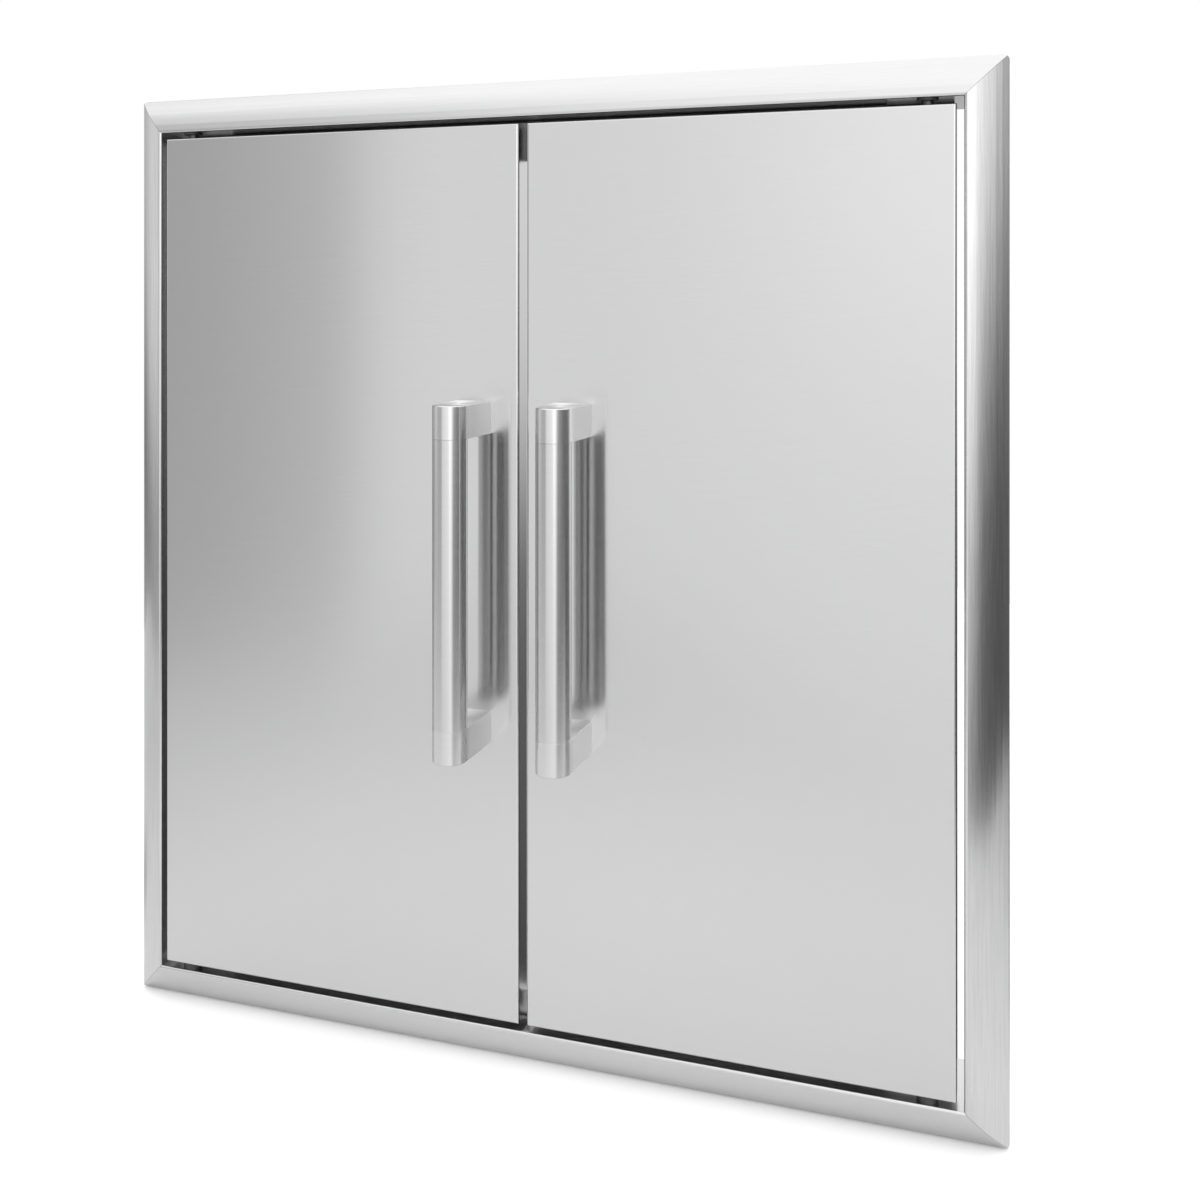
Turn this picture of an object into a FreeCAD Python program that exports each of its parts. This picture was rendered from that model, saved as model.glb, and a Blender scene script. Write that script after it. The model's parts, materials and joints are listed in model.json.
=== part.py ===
import FreeCAD, Part
import math
import os

import Sketcher

# BBQ island access door: a mitred frame with a convex face, two flush hollow doors on
# concealed pivot pins, and a round bar handle on each door.
#
# The wall's front plane is y = 0 and the doors face -Y. The origin is the middle of the
# wall opening on that plane. X runs to the right, Z up. All sizes are millimetres.

Vector = FreeCAD.Vector
Rotation = FreeCAD.Rotation
Placement = FreeCAD.Placement
UP = Vector(0, 0, 1)
RIGHT = Vector(1, 0, 0)
REAR = Vector(0, 1, 0)

# Driving sizes: name, value and meaning
SIZES = [
    ("frame_width", 711.0, "outside width of the frame on the wall"),
    ("frame_height", 762.0, "outside height of the frame on the wall"),
    ("trim_width", 30.0, "width of the frame's face, seen from the front"),
    ("trim_rise", 20.0, "how far the frame's inner edge stands off the wall"),
    ("trim_sheet", 1.2, "sheet of the frame"),
    ("face_radius", 58.0, "radius of the frame's convex face"),
    ("bend_radius", 2.0, "outside radius of the bend into the opening"),
    ("hem_radius", 2.0, "outside radius of the turned outer edge"),
    ("hem_flange", 10.0, "width of the edge turned flat against the wall"),
    ("corner_round", 3.0, "rounding of the frame's outer corners"),
    ("jamb_depth", 45.0, "depth of the frame behind the wall's front plane"),
    ("side_gap", 5.0, "gap between a door's hinge edge and the frame"),
    ("end_gap", 5.0, "gap above and below a door"),
    ("centre_gap", 6.5, "gap between the two doors"),
    ("door_depth", 19.0, "door from front face to back face"),
    ("skin_sheet", 1.2, "sheet of the door's front skin"),
    ("skin_edge", 2.0, "outside radius of the door's front edges"),
    ("liner_sheet", 1.0, "sheet of the door's inner liner"),
    ("liner_edge", 2.0, "outside radius of the liner's back edges"),
    ("liner_flange", 12.0, "depth of the liner's turned edge"),
    ("liner_proud", 0.6, "liner's back face behind the skin's edge"),
    ("pivot_inset", 20.0, "pivot axis from the door's hinge edge"),
    ("pivot_depth", 10.0, "pivot axis behind the door's front face"),
    ("pin_radius", 4.0, "radius of the pivot pins"),
    ("pin_fit", 0.05, "radial clearance round a turning or sliding pin"),
    ("pin_chamfer", 0.8, "chamfer on the ends of the pins"),
    ("seat_gap", 0.2, "clearance where one piece moves against another"),
    ("bush_wall", 2.0, "wall of the pivot bushes"),
    ("bush_rim", 1.5, "how far a bush's rim stands out past its barrel"),
    ("bush_rim_thick", 1.5, "thickness of a bush's rim"),
    ("bush_reach", 7.0, "reach of a bush past the frame's inner surface"),
    ("bush_fit", 0.1, "radial clearance of a bush in the frame"),
    ("washer_width", 3.5, "radial width of the thrust washers"),
    ("bracket_sheet", 2.5, "sheet of the brackets that hold the pins"),
    ("bracket_reach", 12.0, "brackets past the pivot axis"),
    ("bracket_side_gap", 0.3, "clearance of a bracket to the skin and liner"),
    ("bracket_bend", 3.0, "outside bend radius of the brackets"),
    ("foot_height", 22.0, "height of the lower brackets"),
    ("collar_radius", 6.5, "radius of the upper pin's collar"),
    ("collar_thick", 5.0, "thickness of the upper pin's collar"),
    ("spring_length", 30.0, "length of the fitted spring"),
    ("spring_radius", 6.0, "outside radius of the spring"),
    ("spring_wire", 1.2, "wire of the spring"),
    ("pin_travel", 13.0, "travel of the upper pin when it is drawn down"),
    ("pin_tail", 2.0, "upper pin's tail below its bracket"),
    ("lever_radius", 2.0, "radius of the upper pin's lever"),
    ("lever_reach", 8.0, "lever behind the liner"),
    ("lever_slack", 0.4, "clearance round the lever in its slot"),
    ("rail_sheet", 1.5, "sheet of the stop rails"),
    ("rail_gap", 3.5, "front of the stop rails behind the liner"),
    ("rail_depth", 22.0, "depth of the stop rails along the frame"),
    ("rail_clear", 8.0, "clearance of a stop's front leg to a door's swinging edge"),
    ("swing_gap", 2.5, "clearance of a stop's rear leg to a door's swinging edge"),
    ("rail_end_gap", 7.5, "ends of the stop rails from the frame's sides"),
    ("rail_end_lip", 6.0, "height of the upper stop's leg at its stepped ends"),
    ("rail_bend", 2.5, "outside bend radius of the stop rails"),
    ("top_stop", 32.0, "height of the upper stop"),
    ("bottom_stop", 20.0, "height of the lower stop"),
    ("bumper_radius", 4.5, "radius of the rubber bumpers"),
    ("bumper_gap", 0.3, "clearance between a bumper and a closed door"),
    ("bumper_inner", 60.0, "inner bumpers from the centre line"),
    ("bumper_outer", 240.0, "outer bumpers from the centre line"),
    ("bumper_rise", 13.5, "bumpers above the frame's inner surface"),
    ("catch_offset", 60.0, "magnetic catches from the centre line"),
    ("catch_drop", 19.0, "magnetic catches below the frame's inner surface"),
    ("catch_width", 36.0, "width of a catch's nose"),
    ("catch_height", 14.0, "height of a catch"),
    ("catch_depth", 16.0, "depth of a catch behind the stop rail"),
    ("catch_wall", 2.0, "wall of a catch's housing"),
    ("catch_ear", 12.0, "length of a catch's fixing ears"),
    ("catch_ear_thick", 3.0, "thickness of a catch's fixing ears"),
    ("catch_slack", 0.5, "clearance of a catch in the rail's window"),
    ("pole_thick", 1.5, "thickness of the magnet's pole plates"),
    ("pole_proud", 0.5, "pole plates in front of the housing"),
    ("pole_gap", 0.4, "pole plates to the striker of a closed door"),
    ("catch_screw_radius", 1.75, "radius of the catches' screws"),
    ("catch_screw_head", 3.5, "head radius of the catches' screws"),
    ("striker_width", 56.0, "width of a striker plate"),
    ("striker_height", 16.0, "height of a striker plate"),
    ("striker_thick", 1.5, "thickness of a striker plate"),
    ("rivet_radius", 1.6, "radius of the strikers' rivets"),
    ("rivet_inset", 4.0, "rivets from a striker's ends"),
    ("handle_length", 264.0, "overall length of a handle"),
    ("handle_radius", 13.1, "radius of a handle's bar"),
    ("handle_inset", 37.5, "handle's axis from the door's free edge"),
    ("handle_standoff", 44.0, "handle's axis in front of the door"),
    ("tube_wall", 1.5, "wall of the handle tube"),
    ("post_height", 25.0, "height of a handle post"),
    ("post_foot", 30.0, "width of a handle post at the door"),
    ("post_edge", 0.6, "bevel round the free end of a handle post"),
    ("seam_chamfer", 0.3, "bevel of a handle post at its seam with the tube"),
    ("spigot_length", 15.0, "post's spigot inside the tube"),
    ("spigot_fit", 0.1, "radial clearance of the spigot in the tube"),
    ("screw_radius", 3.0, "radius of the handle screws"),
    ("screw_fit", 0.05, "radial clearance of a screw in its thread"),
    ("screw_grip", 18.0, "screw's reach into a handle post"),
    ("screw_head_radius", 6.0, "head radius of the handle screws"),
    ("screw_head_thick", 2.6, "head thickness of the handle screws"),
    ("sleeve_wall", 2.6, "wall of the sleeves round the handle screws"),
    ("clear_fit", 0.3, "radial clearance of a through hole"),
    ("wall_hole_radius", 2.5, "radius of the holes for the wall screws"),
    ("wall_hole_inset", 10.0, "wall screw holes from the frame's rear edge"),
    ("wall_hole_side", 250.0, "side members' holes above and below the middle"),
    ("wall_hole_end", 200.0, "top and bottom members' holes from the middle"),
]

document = FreeCAD.newDocument("AccessDoor")
sheet = document.addObject("Spreadsheet::Sheet", "Sizes")


class Size:
    """A driving size, or a sum of some: its text for the model and its present value."""

    def __init__(self, text, value):
        self.text = text
        self.value = value

    def __add__(self, other):
        return joined(self, "+", other, self.value + number(other))

    def __radd__(self, other):
        return joined(other, "+", self, number(other) + self.value)

    def __sub__(self, other):
        return joined(self, "-", other, self.value - number(other))

    def __rsub__(self, other):
        return joined(other, "-", self, number(other) - self.value)

    def __mul__(self, other):
        return joined(self, "*", other, self.value * number(other))

    def __rmul__(self, other):
        return joined(other, "*", self, number(other) * self.value)

    def __truediv__(self, other):
        return joined(self, "/", other, self.value / number(other))

    def __neg__(self):
        return Size(f"(0 - {self.text})", -self.value)


def root(size):
    return Size(f"sqrt({size.text})", math.sqrt(size.value))


def number(size):
    return size.value if isinstance(size, Size) else float(size)


def words(size):
    return size.text if isinstance(size, Size) else f"({float(size)})"


def joined(first, sign, second, value):
    return Size(f"({words(first)} {sign} {words(second)})", value)


class Sizes:
    """The driving sizes by name, each written into the sheet with its meaning."""

    def __init__(self, rows):
        for row, (name, value, meaning) in enumerate(rows, start=1):
            sheet.set(f"A{row}", name)
            sheet.set(f"B{row}", str(value))
            sheet.set(f"C{row}", meaning)
            sheet.setAlias(f"B{row}", name)
            setattr(self, name, Size(f"Sizes.{name}", value))


S = Sizes(SIZES)
document.recompute()

# Places that several pieces share
OPEN_X = S.frame_width / 2 - S.trim_width
OPEN_Z = S.frame_height / 2 - S.trim_width
DOOR_FRONT = -S.trim_rise
DOOR_BACK = S.door_depth - S.trim_rise
DOOR_TOP = OPEN_Z - S.end_gap
DOOR_WIDTH = OPEN_X - S.side_gap - S.centre_gap / 2
PIVOT_X = S.side_gap + S.pivot_inset - OPEN_X
PIVOT_Y = S.pivot_depth - S.trim_rise
HANDLE_X = -(S.centre_gap / 2 + S.handle_inset)
HANDLE_Y = -(S.trim_rise + S.handle_standoff)
POST_MIDDLE = S.handle_length / 2 - S.post_height / 2
LINER_TOP = DOOR_TOP - S.skin_sheet
RAIL_FRONT = DOOR_BACK + S.rail_gap
EDGE_BACK = S.door_depth - S.pivot_depth
SWING = root(S.pivot_inset * S.pivot_inset + EDGE_BACK * EDGE_BACK)
RAIL_HALF = -PIVOT_X - SWING - S.rail_clear
RAIL_REACH = OPEN_X - S.rail_end_gap
RAIL_REAR = PIVOT_Y + SWING + S.swing_gap
BUSH_RADIUS = S.pin_radius + S.pin_fit + S.bush_wall
PIN_BORE = S.pin_radius + S.pin_fit
BRACKET_TOP = LINER_TOP - S.liner_sheet
COLLAR_TOP = BRACKET_TOP - S.bracket_sheet - S.seat_gap
COLLAR_BOTTOM = COLLAR_TOP - S.collar_thick
LEVER_Z = COLLAR_TOP - S.collar_thick / 2
SPRING_BOTTOM = COLLAR_BOTTOM - S.spring_length
CATCH_Z = OPEN_Z - S.catch_drop
POLE_FRONT = DOOR_BACK + S.striker_thick + S.pole_gap
SKIN_INSIDE = DOOR_FRONT + S.skin_sheet
LINER_INSIDE = DOOR_BACK - S.liner_sheet

finished = {}


# Helpers for drawing, shaping and placing


def bind(item, name, size):
    """Ties one property of an item to a size."""
    item.setExpression(name, words(size))


def place(item, x=0, y=0, z=0, turn=Rotation()):
    """Puts an item at a place worked out from the sizes."""
    item.Placement = Placement(Vector(number(x), number(y), number(z)), turn)
    for axis, size in (("x", x), ("y", y), ("z", z)):
        bind(item, f"Placement.Base.{axis}", size)


def new_body(name):
    body = document.addObject("PartDesign::Body", name)
    body.Label = name
    return body


def new_sketch(body, plane, lift=0):
    """A sketch on one of the body's own planes, lifted along that plane's normal."""
    sketch = body.newObject("Sketcher::SketchObject", f"{body.Name}Sketch")
    origin = [feature for feature in body.Origin.OriginFeatures if feature.Role == plane]
    sketch.AttachmentSupport = (origin[0], [""])
    sketch.MapMode = "FlatFace"
    bind(sketch, "AttachmentOffset.Base.z", lift)
    return sketch


def constrain(sketch, *rule, size=None):
    """Adds one constraint, tied to a size where it has one."""
    if size is None:
        return sketch.addConstraint(Sketcher.Constraint(*rule))
    index = sketch.addConstraint(Sketcher.Constraint(*rule, number(size)))
    sketch.setExpression(f"Constraints[{index}]", words(size))
    return index


def fix_point(sketch, item, end, across, up):
    """Fixes one end of a line, or a centre, by its two distances from the origin."""
    constrain(sketch, "DistanceX", -1, 1, item, end, size=across)
    constrain(sketch, "DistanceY", -1, 1, item, end, size=up)


def draw_polygon(sketch, points):
    """A closed outline of straight lines through the given points."""
    flat = [Vector(number(across), number(up), 0) for across, up in points]
    count = len(flat)
    lines = [
        sketch.addGeometry(Part.LineSegment(flat[i], flat[(i + 1) % count]), False)
        for i in range(count)
    ]
    for i, line in enumerate(lines):
        constrain(sketch, "Coincident", line, 2, lines[(i + 1) % count], 1)
        fix_point(sketch, line, 1, *points[i])


def draw_rectangle(sketch, left, right, low, high):
    draw_polygon(sketch, [(left, low), (right, low), (right, high), (left, high)])


def draw_circle(sketch, across, up, radius):
    centre = Vector(number(across), number(up), 0)
    circle = sketch.addGeometry(Part.Circle(centre, UP, number(radius)), False)
    fix_point(sketch, circle, 3, across, up)
    constrain(sketch, "Radius", circle, size=radius)


def pad(body, sketch, length, both_ways=False, backwards=False):
    """Thickens a sketch."""
    feature = body.newObject("PartDesign::Pad", f"{body.Name}Pad")
    feature.Profile = sketch
    feature.SideType = "Symmetric" if both_ways else "One side"
    feature.Reversed = backwards
    bind(feature, "Length", length)
    document.recompute()
    return feature


def cut(body, sketch, length=None, backwards=False, both_ways=True):
    """Cuts a sketch out of a body, right through it or to a depth."""
    before = body.Shape.Volume
    feature = body.newObject("PartDesign::Pocket", f"{body.Name}Cut")
    feature.Profile = sketch
    feature.SideType = "Symmetric" if both_ways else "One side"
    feature.Reversed = backwards
    if length is None:
        feature.Type = "ThroughAll"
    else:
        feature.Type = "Length"
        bind(feature, "Length", length)
    document.recompute()
    if body.Shape.Volume > before - 0.01:
        raise RuntimeError(f"a cut in {body.Label} removes nothing")
    return feature


def turned(body, outline, around="Z_Axis", plane="XZ_Plane"):
    """A round piece: an outline of (radius, height) points turned round an axis."""
    sketch = new_sketch(body, plane)
    draw_polygon(sketch, outline)
    feature = body.newObject("PartDesign::Revolution", f"{body.Name}Turned")
    feature.Profile = sketch
    axis = [item for item in body.Origin.OriginFeatures if item.Role == around]
    feature.ReferenceAxis = (axis[0], [""])
    feature.Angle = 360
    document.recompute()
    return feature


def edge_names(feature, wanted):
    edges = enumerate(feature.Shape.Edges, start=1)
    return [f"Edge{index}" for index, edge in edges if wanted(edge)]


def round_edges(body, feature, wanted, radius):
    """Rounds the edges of a feature that pass a test."""
    fillet = body.newObject("PartDesign::Fillet", f"{body.Name}Round")
    fillet.Base = (feature, edge_names(feature, wanted))
    bind(fillet, "Radius", radius)
    document.recompute()
    return fillet


def bevel_edges(body, feature, wanted, size):
    """Takes the sharpness off the edges of a feature that pass a test."""
    chamfer = body.newObject("PartDesign::Chamfer", f"{body.Name}Bevel")
    chamfer.Base = (feature, edge_names(feature, wanted))
    bind(chamfer, "Size", size)
    document.recompute()
    return chamfer


def hollow(body, feature, open_side, wall):
    """Leaves a wall behind a solid's surfaces, open on the side that faces one way."""
    names = [
        f"Face{index}"
        for index, face in enumerate(feature.Shape.Faces, start=1)
        if face.Surface.TypeId == "Part::GeomPlane"
        and face.normalAt(0, 0).dot(open_side) > 0.99
    ]
    shell = body.newObject("PartDesign::Thickness", f"{body.Name}Shell")
    shell.Base = (feature, names)
    shell.Reversed = True
    bind(shell, "Value", wall)
    document.recompute()
    return shell


def middle(edge):
    return edge.valueAt((edge.FirstParameter + edge.LastParameter) / 2)


def is_along(edge, direction):
    return edge.Curve.TypeId == "Part::GeomLine" and abs(edge.Curve.Direction.dot(direction)) > 0.99


def finish(item, name):
    """Names a finished piece."""
    item.Label = name
    finished[name] = item
    return item


def mirrored(source, name, normal):
    """The same piece on the other side."""
    copy = document.addObject("Part::Mirroring", name)
    copy.Source = source
    copy.Normal = normal
    return copy


def moved(source, name, x=0, y=0, z=0, turn=Rotation()):
    """A copy of a piece at another place."""
    copy = document.addObject("Part::Compound", name)
    copy.Links = [source]
    place(copy, x, y, z, turn)
    return copy


def group(name, pieces):
    """Like pieces that are counted as one item."""
    together = document.addObject("Part::Compound", name)
    together.Links = pieces
    return finish(together, name)


def both_doors(source, name):
    """Names a left-hand piece and makes its right-hand twin."""
    finish(source, f"{name}_left")
    finish(mirrored(source, f"{name}_right", RIGHT), f"{name}_right")


# Frame


def face_centre():
    """Centre of the convex face's arc, which touches the two edge bends."""
    x1, y1 = S.bend_radius.value, S.bend_radius.value - S.trim_rise.value
    x2, y2 = (S.trim_width - S.hem_radius).value, -S.hem_radius.value
    r1 = (S.face_radius - S.bend_radius).value
    r2 = (S.face_radius - S.hem_radius).value
    span = math.hypot(x2 - x1, y2 - y1)
    along = (r1 * r1 - r2 * r2 + span * span) / (2 * span)
    across = math.sqrt(r1 * r1 - along * along)
    ux, uy = (x2 - x1) / span, (y2 - y1) / span
    return Vector(x1 + ux * along - uy * across, y1 + uy * along + ux * across, 0)


def arc_between(centre, radius, start, end):
    circle = Part.Circle(centre, UP, radius)
    return Part.ArcOfCircle(circle, start, end)


def draw_trim_section(sketch):
    """Section of a frame member: jamb, bend, convex face, turned edge and wall flange."""
    sheet_thick = S.trim_sheet.value
    bend = Vector(S.bend_radius.value, S.bend_radius.value - S.trim_rise.value, 0)
    hem = Vector((S.trim_width - S.hem_radius).value, -S.hem_radius.value, 0)
    face = face_centre()
    first = math.atan2(bend.y - face.y, bend.x - face.x)
    last = math.atan2(hem.y - face.y, hem.x - face.x)
    flange_end = (S.trim_width - S.hem_flange).value

    def skin(depth):
        return [
            arc_between(bend, S.bend_radius.value - depth, -math.pi, first),
            arc_between(face, S.face_radius.value - depth, first, last),
            arc_between(hem, S.hem_radius.value - depth, last, math.pi / 2),
        ]

    def jamb(x):
        return Part.LineSegment(Vector(x, S.jamb_depth.value, 0), Vector(x, bend.y, 0))

    def flange(y):
        return Part.LineSegment(Vector(hem.x, y, 0), Vector(flange_end, y, 0))

    jamb_out, jamb_in = (sketch.addGeometry(jamb(x), False) for x in (0, sheet_thick))
    outer = [sketch.addGeometry(arc, False) for arc in skin(0)]
    inner = [sketch.addGeometry(arc, False) for arc in skin(sheet_thick)]
    flange_out, flange_in = (
        sketch.addGeometry(flange(y), False) for y in (0, -sheet_thick)
    )
    flange_cap = sketch.addGeometry(
        Part.LineSegment(Vector(flange_end, 0, 0), Vector(flange_end, -sheet_thick, 0)), False
    )
    jamb_cap = sketch.addGeometry(
        Part.LineSegment(
            Vector(0, S.jamb_depth.value, 0), Vector(sheet_thick, S.jamb_depth.value, 0)
        ),
        False,
    )
    for line, arcs, last_line in ((jamb_out, outer, flange_out), (jamb_in, inner, flange_in)):
        constrain(sketch, "Tangent", line, 2, arcs[0], 1)
        constrain(sketch, "Tangent", arcs[0], 2, arcs[1], 1)
        constrain(sketch, "Tangent", arcs[1], 2, arcs[2], 1)
        constrain(sketch, "Tangent", arcs[2], 2, last_line, 1)
        constrain(sketch, "Vertical", line)
        constrain(sketch, "Horizontal", last_line)
    for arc_out, arc_in in zip(outer, inner):
        constrain(sketch, "Coincident", arc_out, 3, arc_in, 3)
    constrain(sketch, "Coincident", flange_out, 2, flange_cap, 1)
    constrain(sketch, "Coincident", flange_in, 2, flange_cap, 2)
    constrain(sketch, "Coincident", jamb_out, 1, jamb_cap, 1)
    constrain(sketch, "Coincident", jamb_in, 1, jamb_cap, 2)
    constrain(sketch, "Vertical", flange_cap)
    constrain(sketch, "Horizontal", jamb_cap)
    fix_point(sketch, outer[0], 3, S.bend_radius, S.bend_radius - S.trim_rise)
    fix_point(sketch, outer[2], 3, S.trim_width - S.hem_radius, -S.hem_radius)
    constrain(sketch, "Radius", outer[0], size=S.bend_radius)
    constrain(sketch, "Radius", outer[1], size=S.face_radius)
    constrain(sketch, "Radius", outer[2], size=S.hem_radius)
    constrain(sketch, "Radius", inner[0], size=S.bend_radius - S.trim_sheet)
    constrain(sketch, "DistanceY", -1, 1, jamb_out, 1, size=S.jamb_depth)
    constrain(sketch, "DistanceX", -1, 1, flange_out, 2, size=S.trim_width - S.hem_flange)


def mitre_ends(body, inner_half):
    """Cuts both ends of a member at 45 degrees through the frame's corners."""
    over = 5
    low, high = -over, S.trim_width + over
    sketch = new_sketch(body, "XZ_Plane")
    for side in (1, -1):
        draw_polygon(
            sketch,
            [
                (low, side * (inner_half - over)),
                (high, side * (inner_half + S.trim_width + over)),
                (high, side * (inner_half + S.trim_width + 3 * over)),
                (low, side * (inner_half + S.trim_width + 3 * over)),
            ],
        )
    cut(body, sketch)


def round_corner(body, outer_half):
    """Rounds a member's part of the frame's outer corners."""
    over = 5
    sketch = new_sketch(body, "XZ_Plane")
    for side in (1, -1):
        x, z = S.trim_width - S.corner_round, side * (outer_half - S.corner_round)
        centre = Vector(x.value, z.value, 0)
        start = 0 if side > 0 else -math.pi / 2
        arc = sketch.addGeometry(
            arc_between(centre, S.corner_round.value, start, start + math.pi / 2), False
        )
        edge_end, top_end = (1, 2) if side > 0 else (2, 1)
        reach = Vector(S.trim_width.value + over, z.value, 0)
        corner = Vector(reach.x, side * (outer_half.value + over), 0)
        above = Vector(x.value, corner.y, 0)
        beside = Vector(S.trim_width.value, z.value, 0)
        over_top = Vector(x.value, side * outer_half.value, 0)
        lines = [
            sketch.addGeometry(Part.LineSegment(a, b), False)
            for a, b in ((beside, reach), (reach, corner), (corner, above), (above, over_top))
        ]
        constrain(sketch, "Coincident", arc, edge_end, lines[0], 1)
        for i in range(3):
            constrain(sketch, "Coincident", lines[i], 2, lines[i + 1], 1)
        constrain(sketch, "Coincident", lines[3], 2, arc, top_end)
        for line in (lines[0], lines[2]):
            constrain(sketch, "Horizontal", line)
        for line in (lines[1], lines[3]):
            constrain(sketch, "Vertical", line)
        fix_point(sketch, arc, 3, x, z)
        constrain(sketch, "Radius", arc, size=S.corner_round)
        constrain(sketch, "DistanceY", -1, 1, lines[0], 1, size=z)
        constrain(sketch, "DistanceX", -1, 1, lines[3], 2, size=x)
        fix_point(sketch, lines[2], 1, S.trim_width + over, side * (outer_half + over))
    cut(body, sketch)


def make_trim(name, inner_half, turn, x, z, screw_place, pivot_place=None):
    """One mitred frame member, drawn along its own length from the opening outwards."""
    body = new_body(name)
    profile = new_sketch(body, "XY_Plane")
    draw_trim_section(profile)
    pad(body, profile, 2 * (inner_half + S.trim_width), both_ways=True)
    mitre_ends(body, inner_half)
    round_corner(body, inner_half + S.trim_width)
    holes = new_sketch(body, "YZ_Plane")
    for side in (1, -1):
        depth = S.jamb_depth - S.wall_hole_inset
        draw_circle(holes, depth, side * screw_place, S.wall_hole_radius)
        if pivot_place is not None:
            draw_circle(holes, PIVOT_Y, side * pivot_place, BUSH_RADIUS + S.bush_fit)
    cut(body, holes, length=4 * S.trim_sheet)
    place(body, x=x, z=z, turn=turn)
    return finish(body, name)


def make_frame():
    """Four members round the opening. Top and bottom carry the pivot bushes."""
    across, along = OPEN_X, OPEN_Z
    make_trim("trim_right", along, Rotation(REAR, 0), across, 0, S.wall_hole_side)
    make_trim("trim_left", along, Rotation(REAR, 180), -across, 0, S.wall_hole_side)
    make_trim("trim_top", across, Rotation(REAR, -90), 0, along, S.wall_hole_end, -PIVOT_X)
    make_trim("trim_bottom", across, Rotation(REAR, 90), 0, -along, S.wall_hole_end, -PIVOT_X)


# Door stops, catches and bumpers


def make_rail(name, height, catches=False):
    """An angle strip that stops the doors. Its ends step back behind the doors' edges."""
    body = new_body(name)
    thick, front, rear = S.rail_sheet, RAIL_FRONT, RAIL_REAR
    half, reach = RAIL_HALF, RAIL_REACH
    outline = [
        (-reach, rear),
        (-half, rear),
        (-half, front),
        (half, front),
        (half, rear),
        (reach, rear),
    ]
    back = front + S.rail_depth
    shelf = new_sketch(body, "XY_Plane")
    draw_polygon(shelf, outline + [(reach, back), (-reach, back)])
    pad(body, shelf, thick, backwards=True)
    leg = new_sketch(body, "XY_Plane")
    inside = [
        (reach, rear + thick),
        (half - thick, rear + thick),
        (half - thick, front + thick),
        (thick - half, front + thick),
        (thick - half, rear + thick),
        (-reach, rear + thick),
    ]
    draw_polygon(leg, outline + inside)
    strip = pad(body, leg, height, backwards=True)

    def is_bend(edge, depth, height_there):
        point = middle(edge)
        at_depth = min(abs(point.y - number(front + depth)), abs(point.y - number(rear + depth)))
        at_height = abs(point.z + number(height_there))
        return is_along(edge, RIGHT) and at_depth < 0.01 and at_height < 0.01

    bent = round_edges(body, strip, lambda edge: is_bend(edge, 0, 0), S.rail_bend)
    inner = S.rail_bend - thick
    round_edges(body, bent, lambda edge: is_bend(edge, thick, thick), inner)
    if catches:
        ends = new_sketch(body, "XZ_Plane")
        for side in (1, -1):
            near, far = side * half, side * (reach + thick)
            draw_rectangle(ends, near, far, -height - thick, -S.rail_end_lip)
        cut(body, ends)
        windows = new_sketch(body, "XZ_Plane")
        half_wide = S.catch_width / 2 + S.catch_slack
        half_high = S.catch_height / 2 + S.catch_slack
        for side in (1, -1):
            x = side * S.catch_offset
            draw_rectangle(
                windows, x - half_wide, x + half_wide,
                -S.catch_drop - half_high, half_high - S.catch_drop,
            )
            for end in (1, -1):
                screw_x = x + end * (S.catch_width + S.catch_ear) / 2
                radius = S.catch_screw_radius + S.screw_fit
                draw_circle(windows, screw_x, -S.catch_drop, radius)
        cut(body, windows)
    return body


def make_rails():
    top = make_rail("stop_rail_top", S.top_stop, catches=True)
    place(top, z=OPEN_Z)
    finish(top, "stop_rail_top")
    bottom = make_rail("stop_rail_bottom", S.bottom_stop)
    place(bottom, z=OPEN_Z)
    finish(mirrored(bottom, "StopRailBottomTurned", UP), "stop_rail_bottom")


def make_catch_housing():
    """A catch's plastic housing: a nose for the magnet and two fixing ears."""
    body = new_body("CatchHousing")
    back = RAIL_FRONT + S.rail_sheet
    front = POLE_FRONT + S.pole_proud
    half_wide, half_high = S.catch_width / 2, S.catch_height / 2
    block = new_sketch(body, "XZ_Plane", lift=-front)
    draw_rectangle(block, -half_wide, half_wide, -half_high, half_high)
    pad(body, block, back + S.catch_depth - front, backwards=True)
    ears = new_sketch(body, "XZ_Plane", lift=-back)
    reach = half_wide + S.catch_ear
    draw_rectangle(ears, -reach, reach, -half_high, half_high)
    eared = pad(body, ears, S.catch_ear_thick, backwards=True)

    def is_ear_corner(edge):
        point = middle(edge)
        return is_along(edge, REAR) and abs(abs(point.x) - reach.value) < 0.01

    round_edges(body, eared, is_ear_corner, S.catch_height / 4)
    pocket = new_sketch(body, "XZ_Plane", lift=-front)
    wall = S.catch_wall
    draw_rectangle(
        pocket, wall - half_wide, half_wide - wall, wall - half_high, half_high - wall
    )
    cut(body, pocket, length=S.catch_depth, both_ways=False)
    holes = new_sketch(body, "XZ_Plane")
    for side in (1, -1):
        screw_x = side * (S.catch_width + S.catch_ear) / 2
        draw_circle(holes, screw_x, 0, S.catch_screw_radius + S.clear_fit)
    cut(body, holes)
    return body


def catch_box(name, half_wide, low, high, front, back):
    """A plain block of a catch, drawn about the catch's own middle."""
    body = new_body(name)
    outline = new_sketch(body, "XZ_Plane", lift=-front)
    draw_rectangle(outline, -half_wide, half_wide, low, high)
    pad(body, outline, back - front, backwards=True)
    return body


def pan_head_screw(name, shank_radius, shank, head_radius, head):
    """A screw along Y: its head's seat at the origin, its shank towards the front."""
    body = new_body(name)
    turned(
        body,
        [
            (0, -shank),
            (shank_radius, -shank),
            (shank_radius, 0),
            (head_radius, 0),
            (head_radius, head),
            (0, head),
        ],
        around="Y_Axis",
        plane="XY_Plane",
    )
    return body


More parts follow.
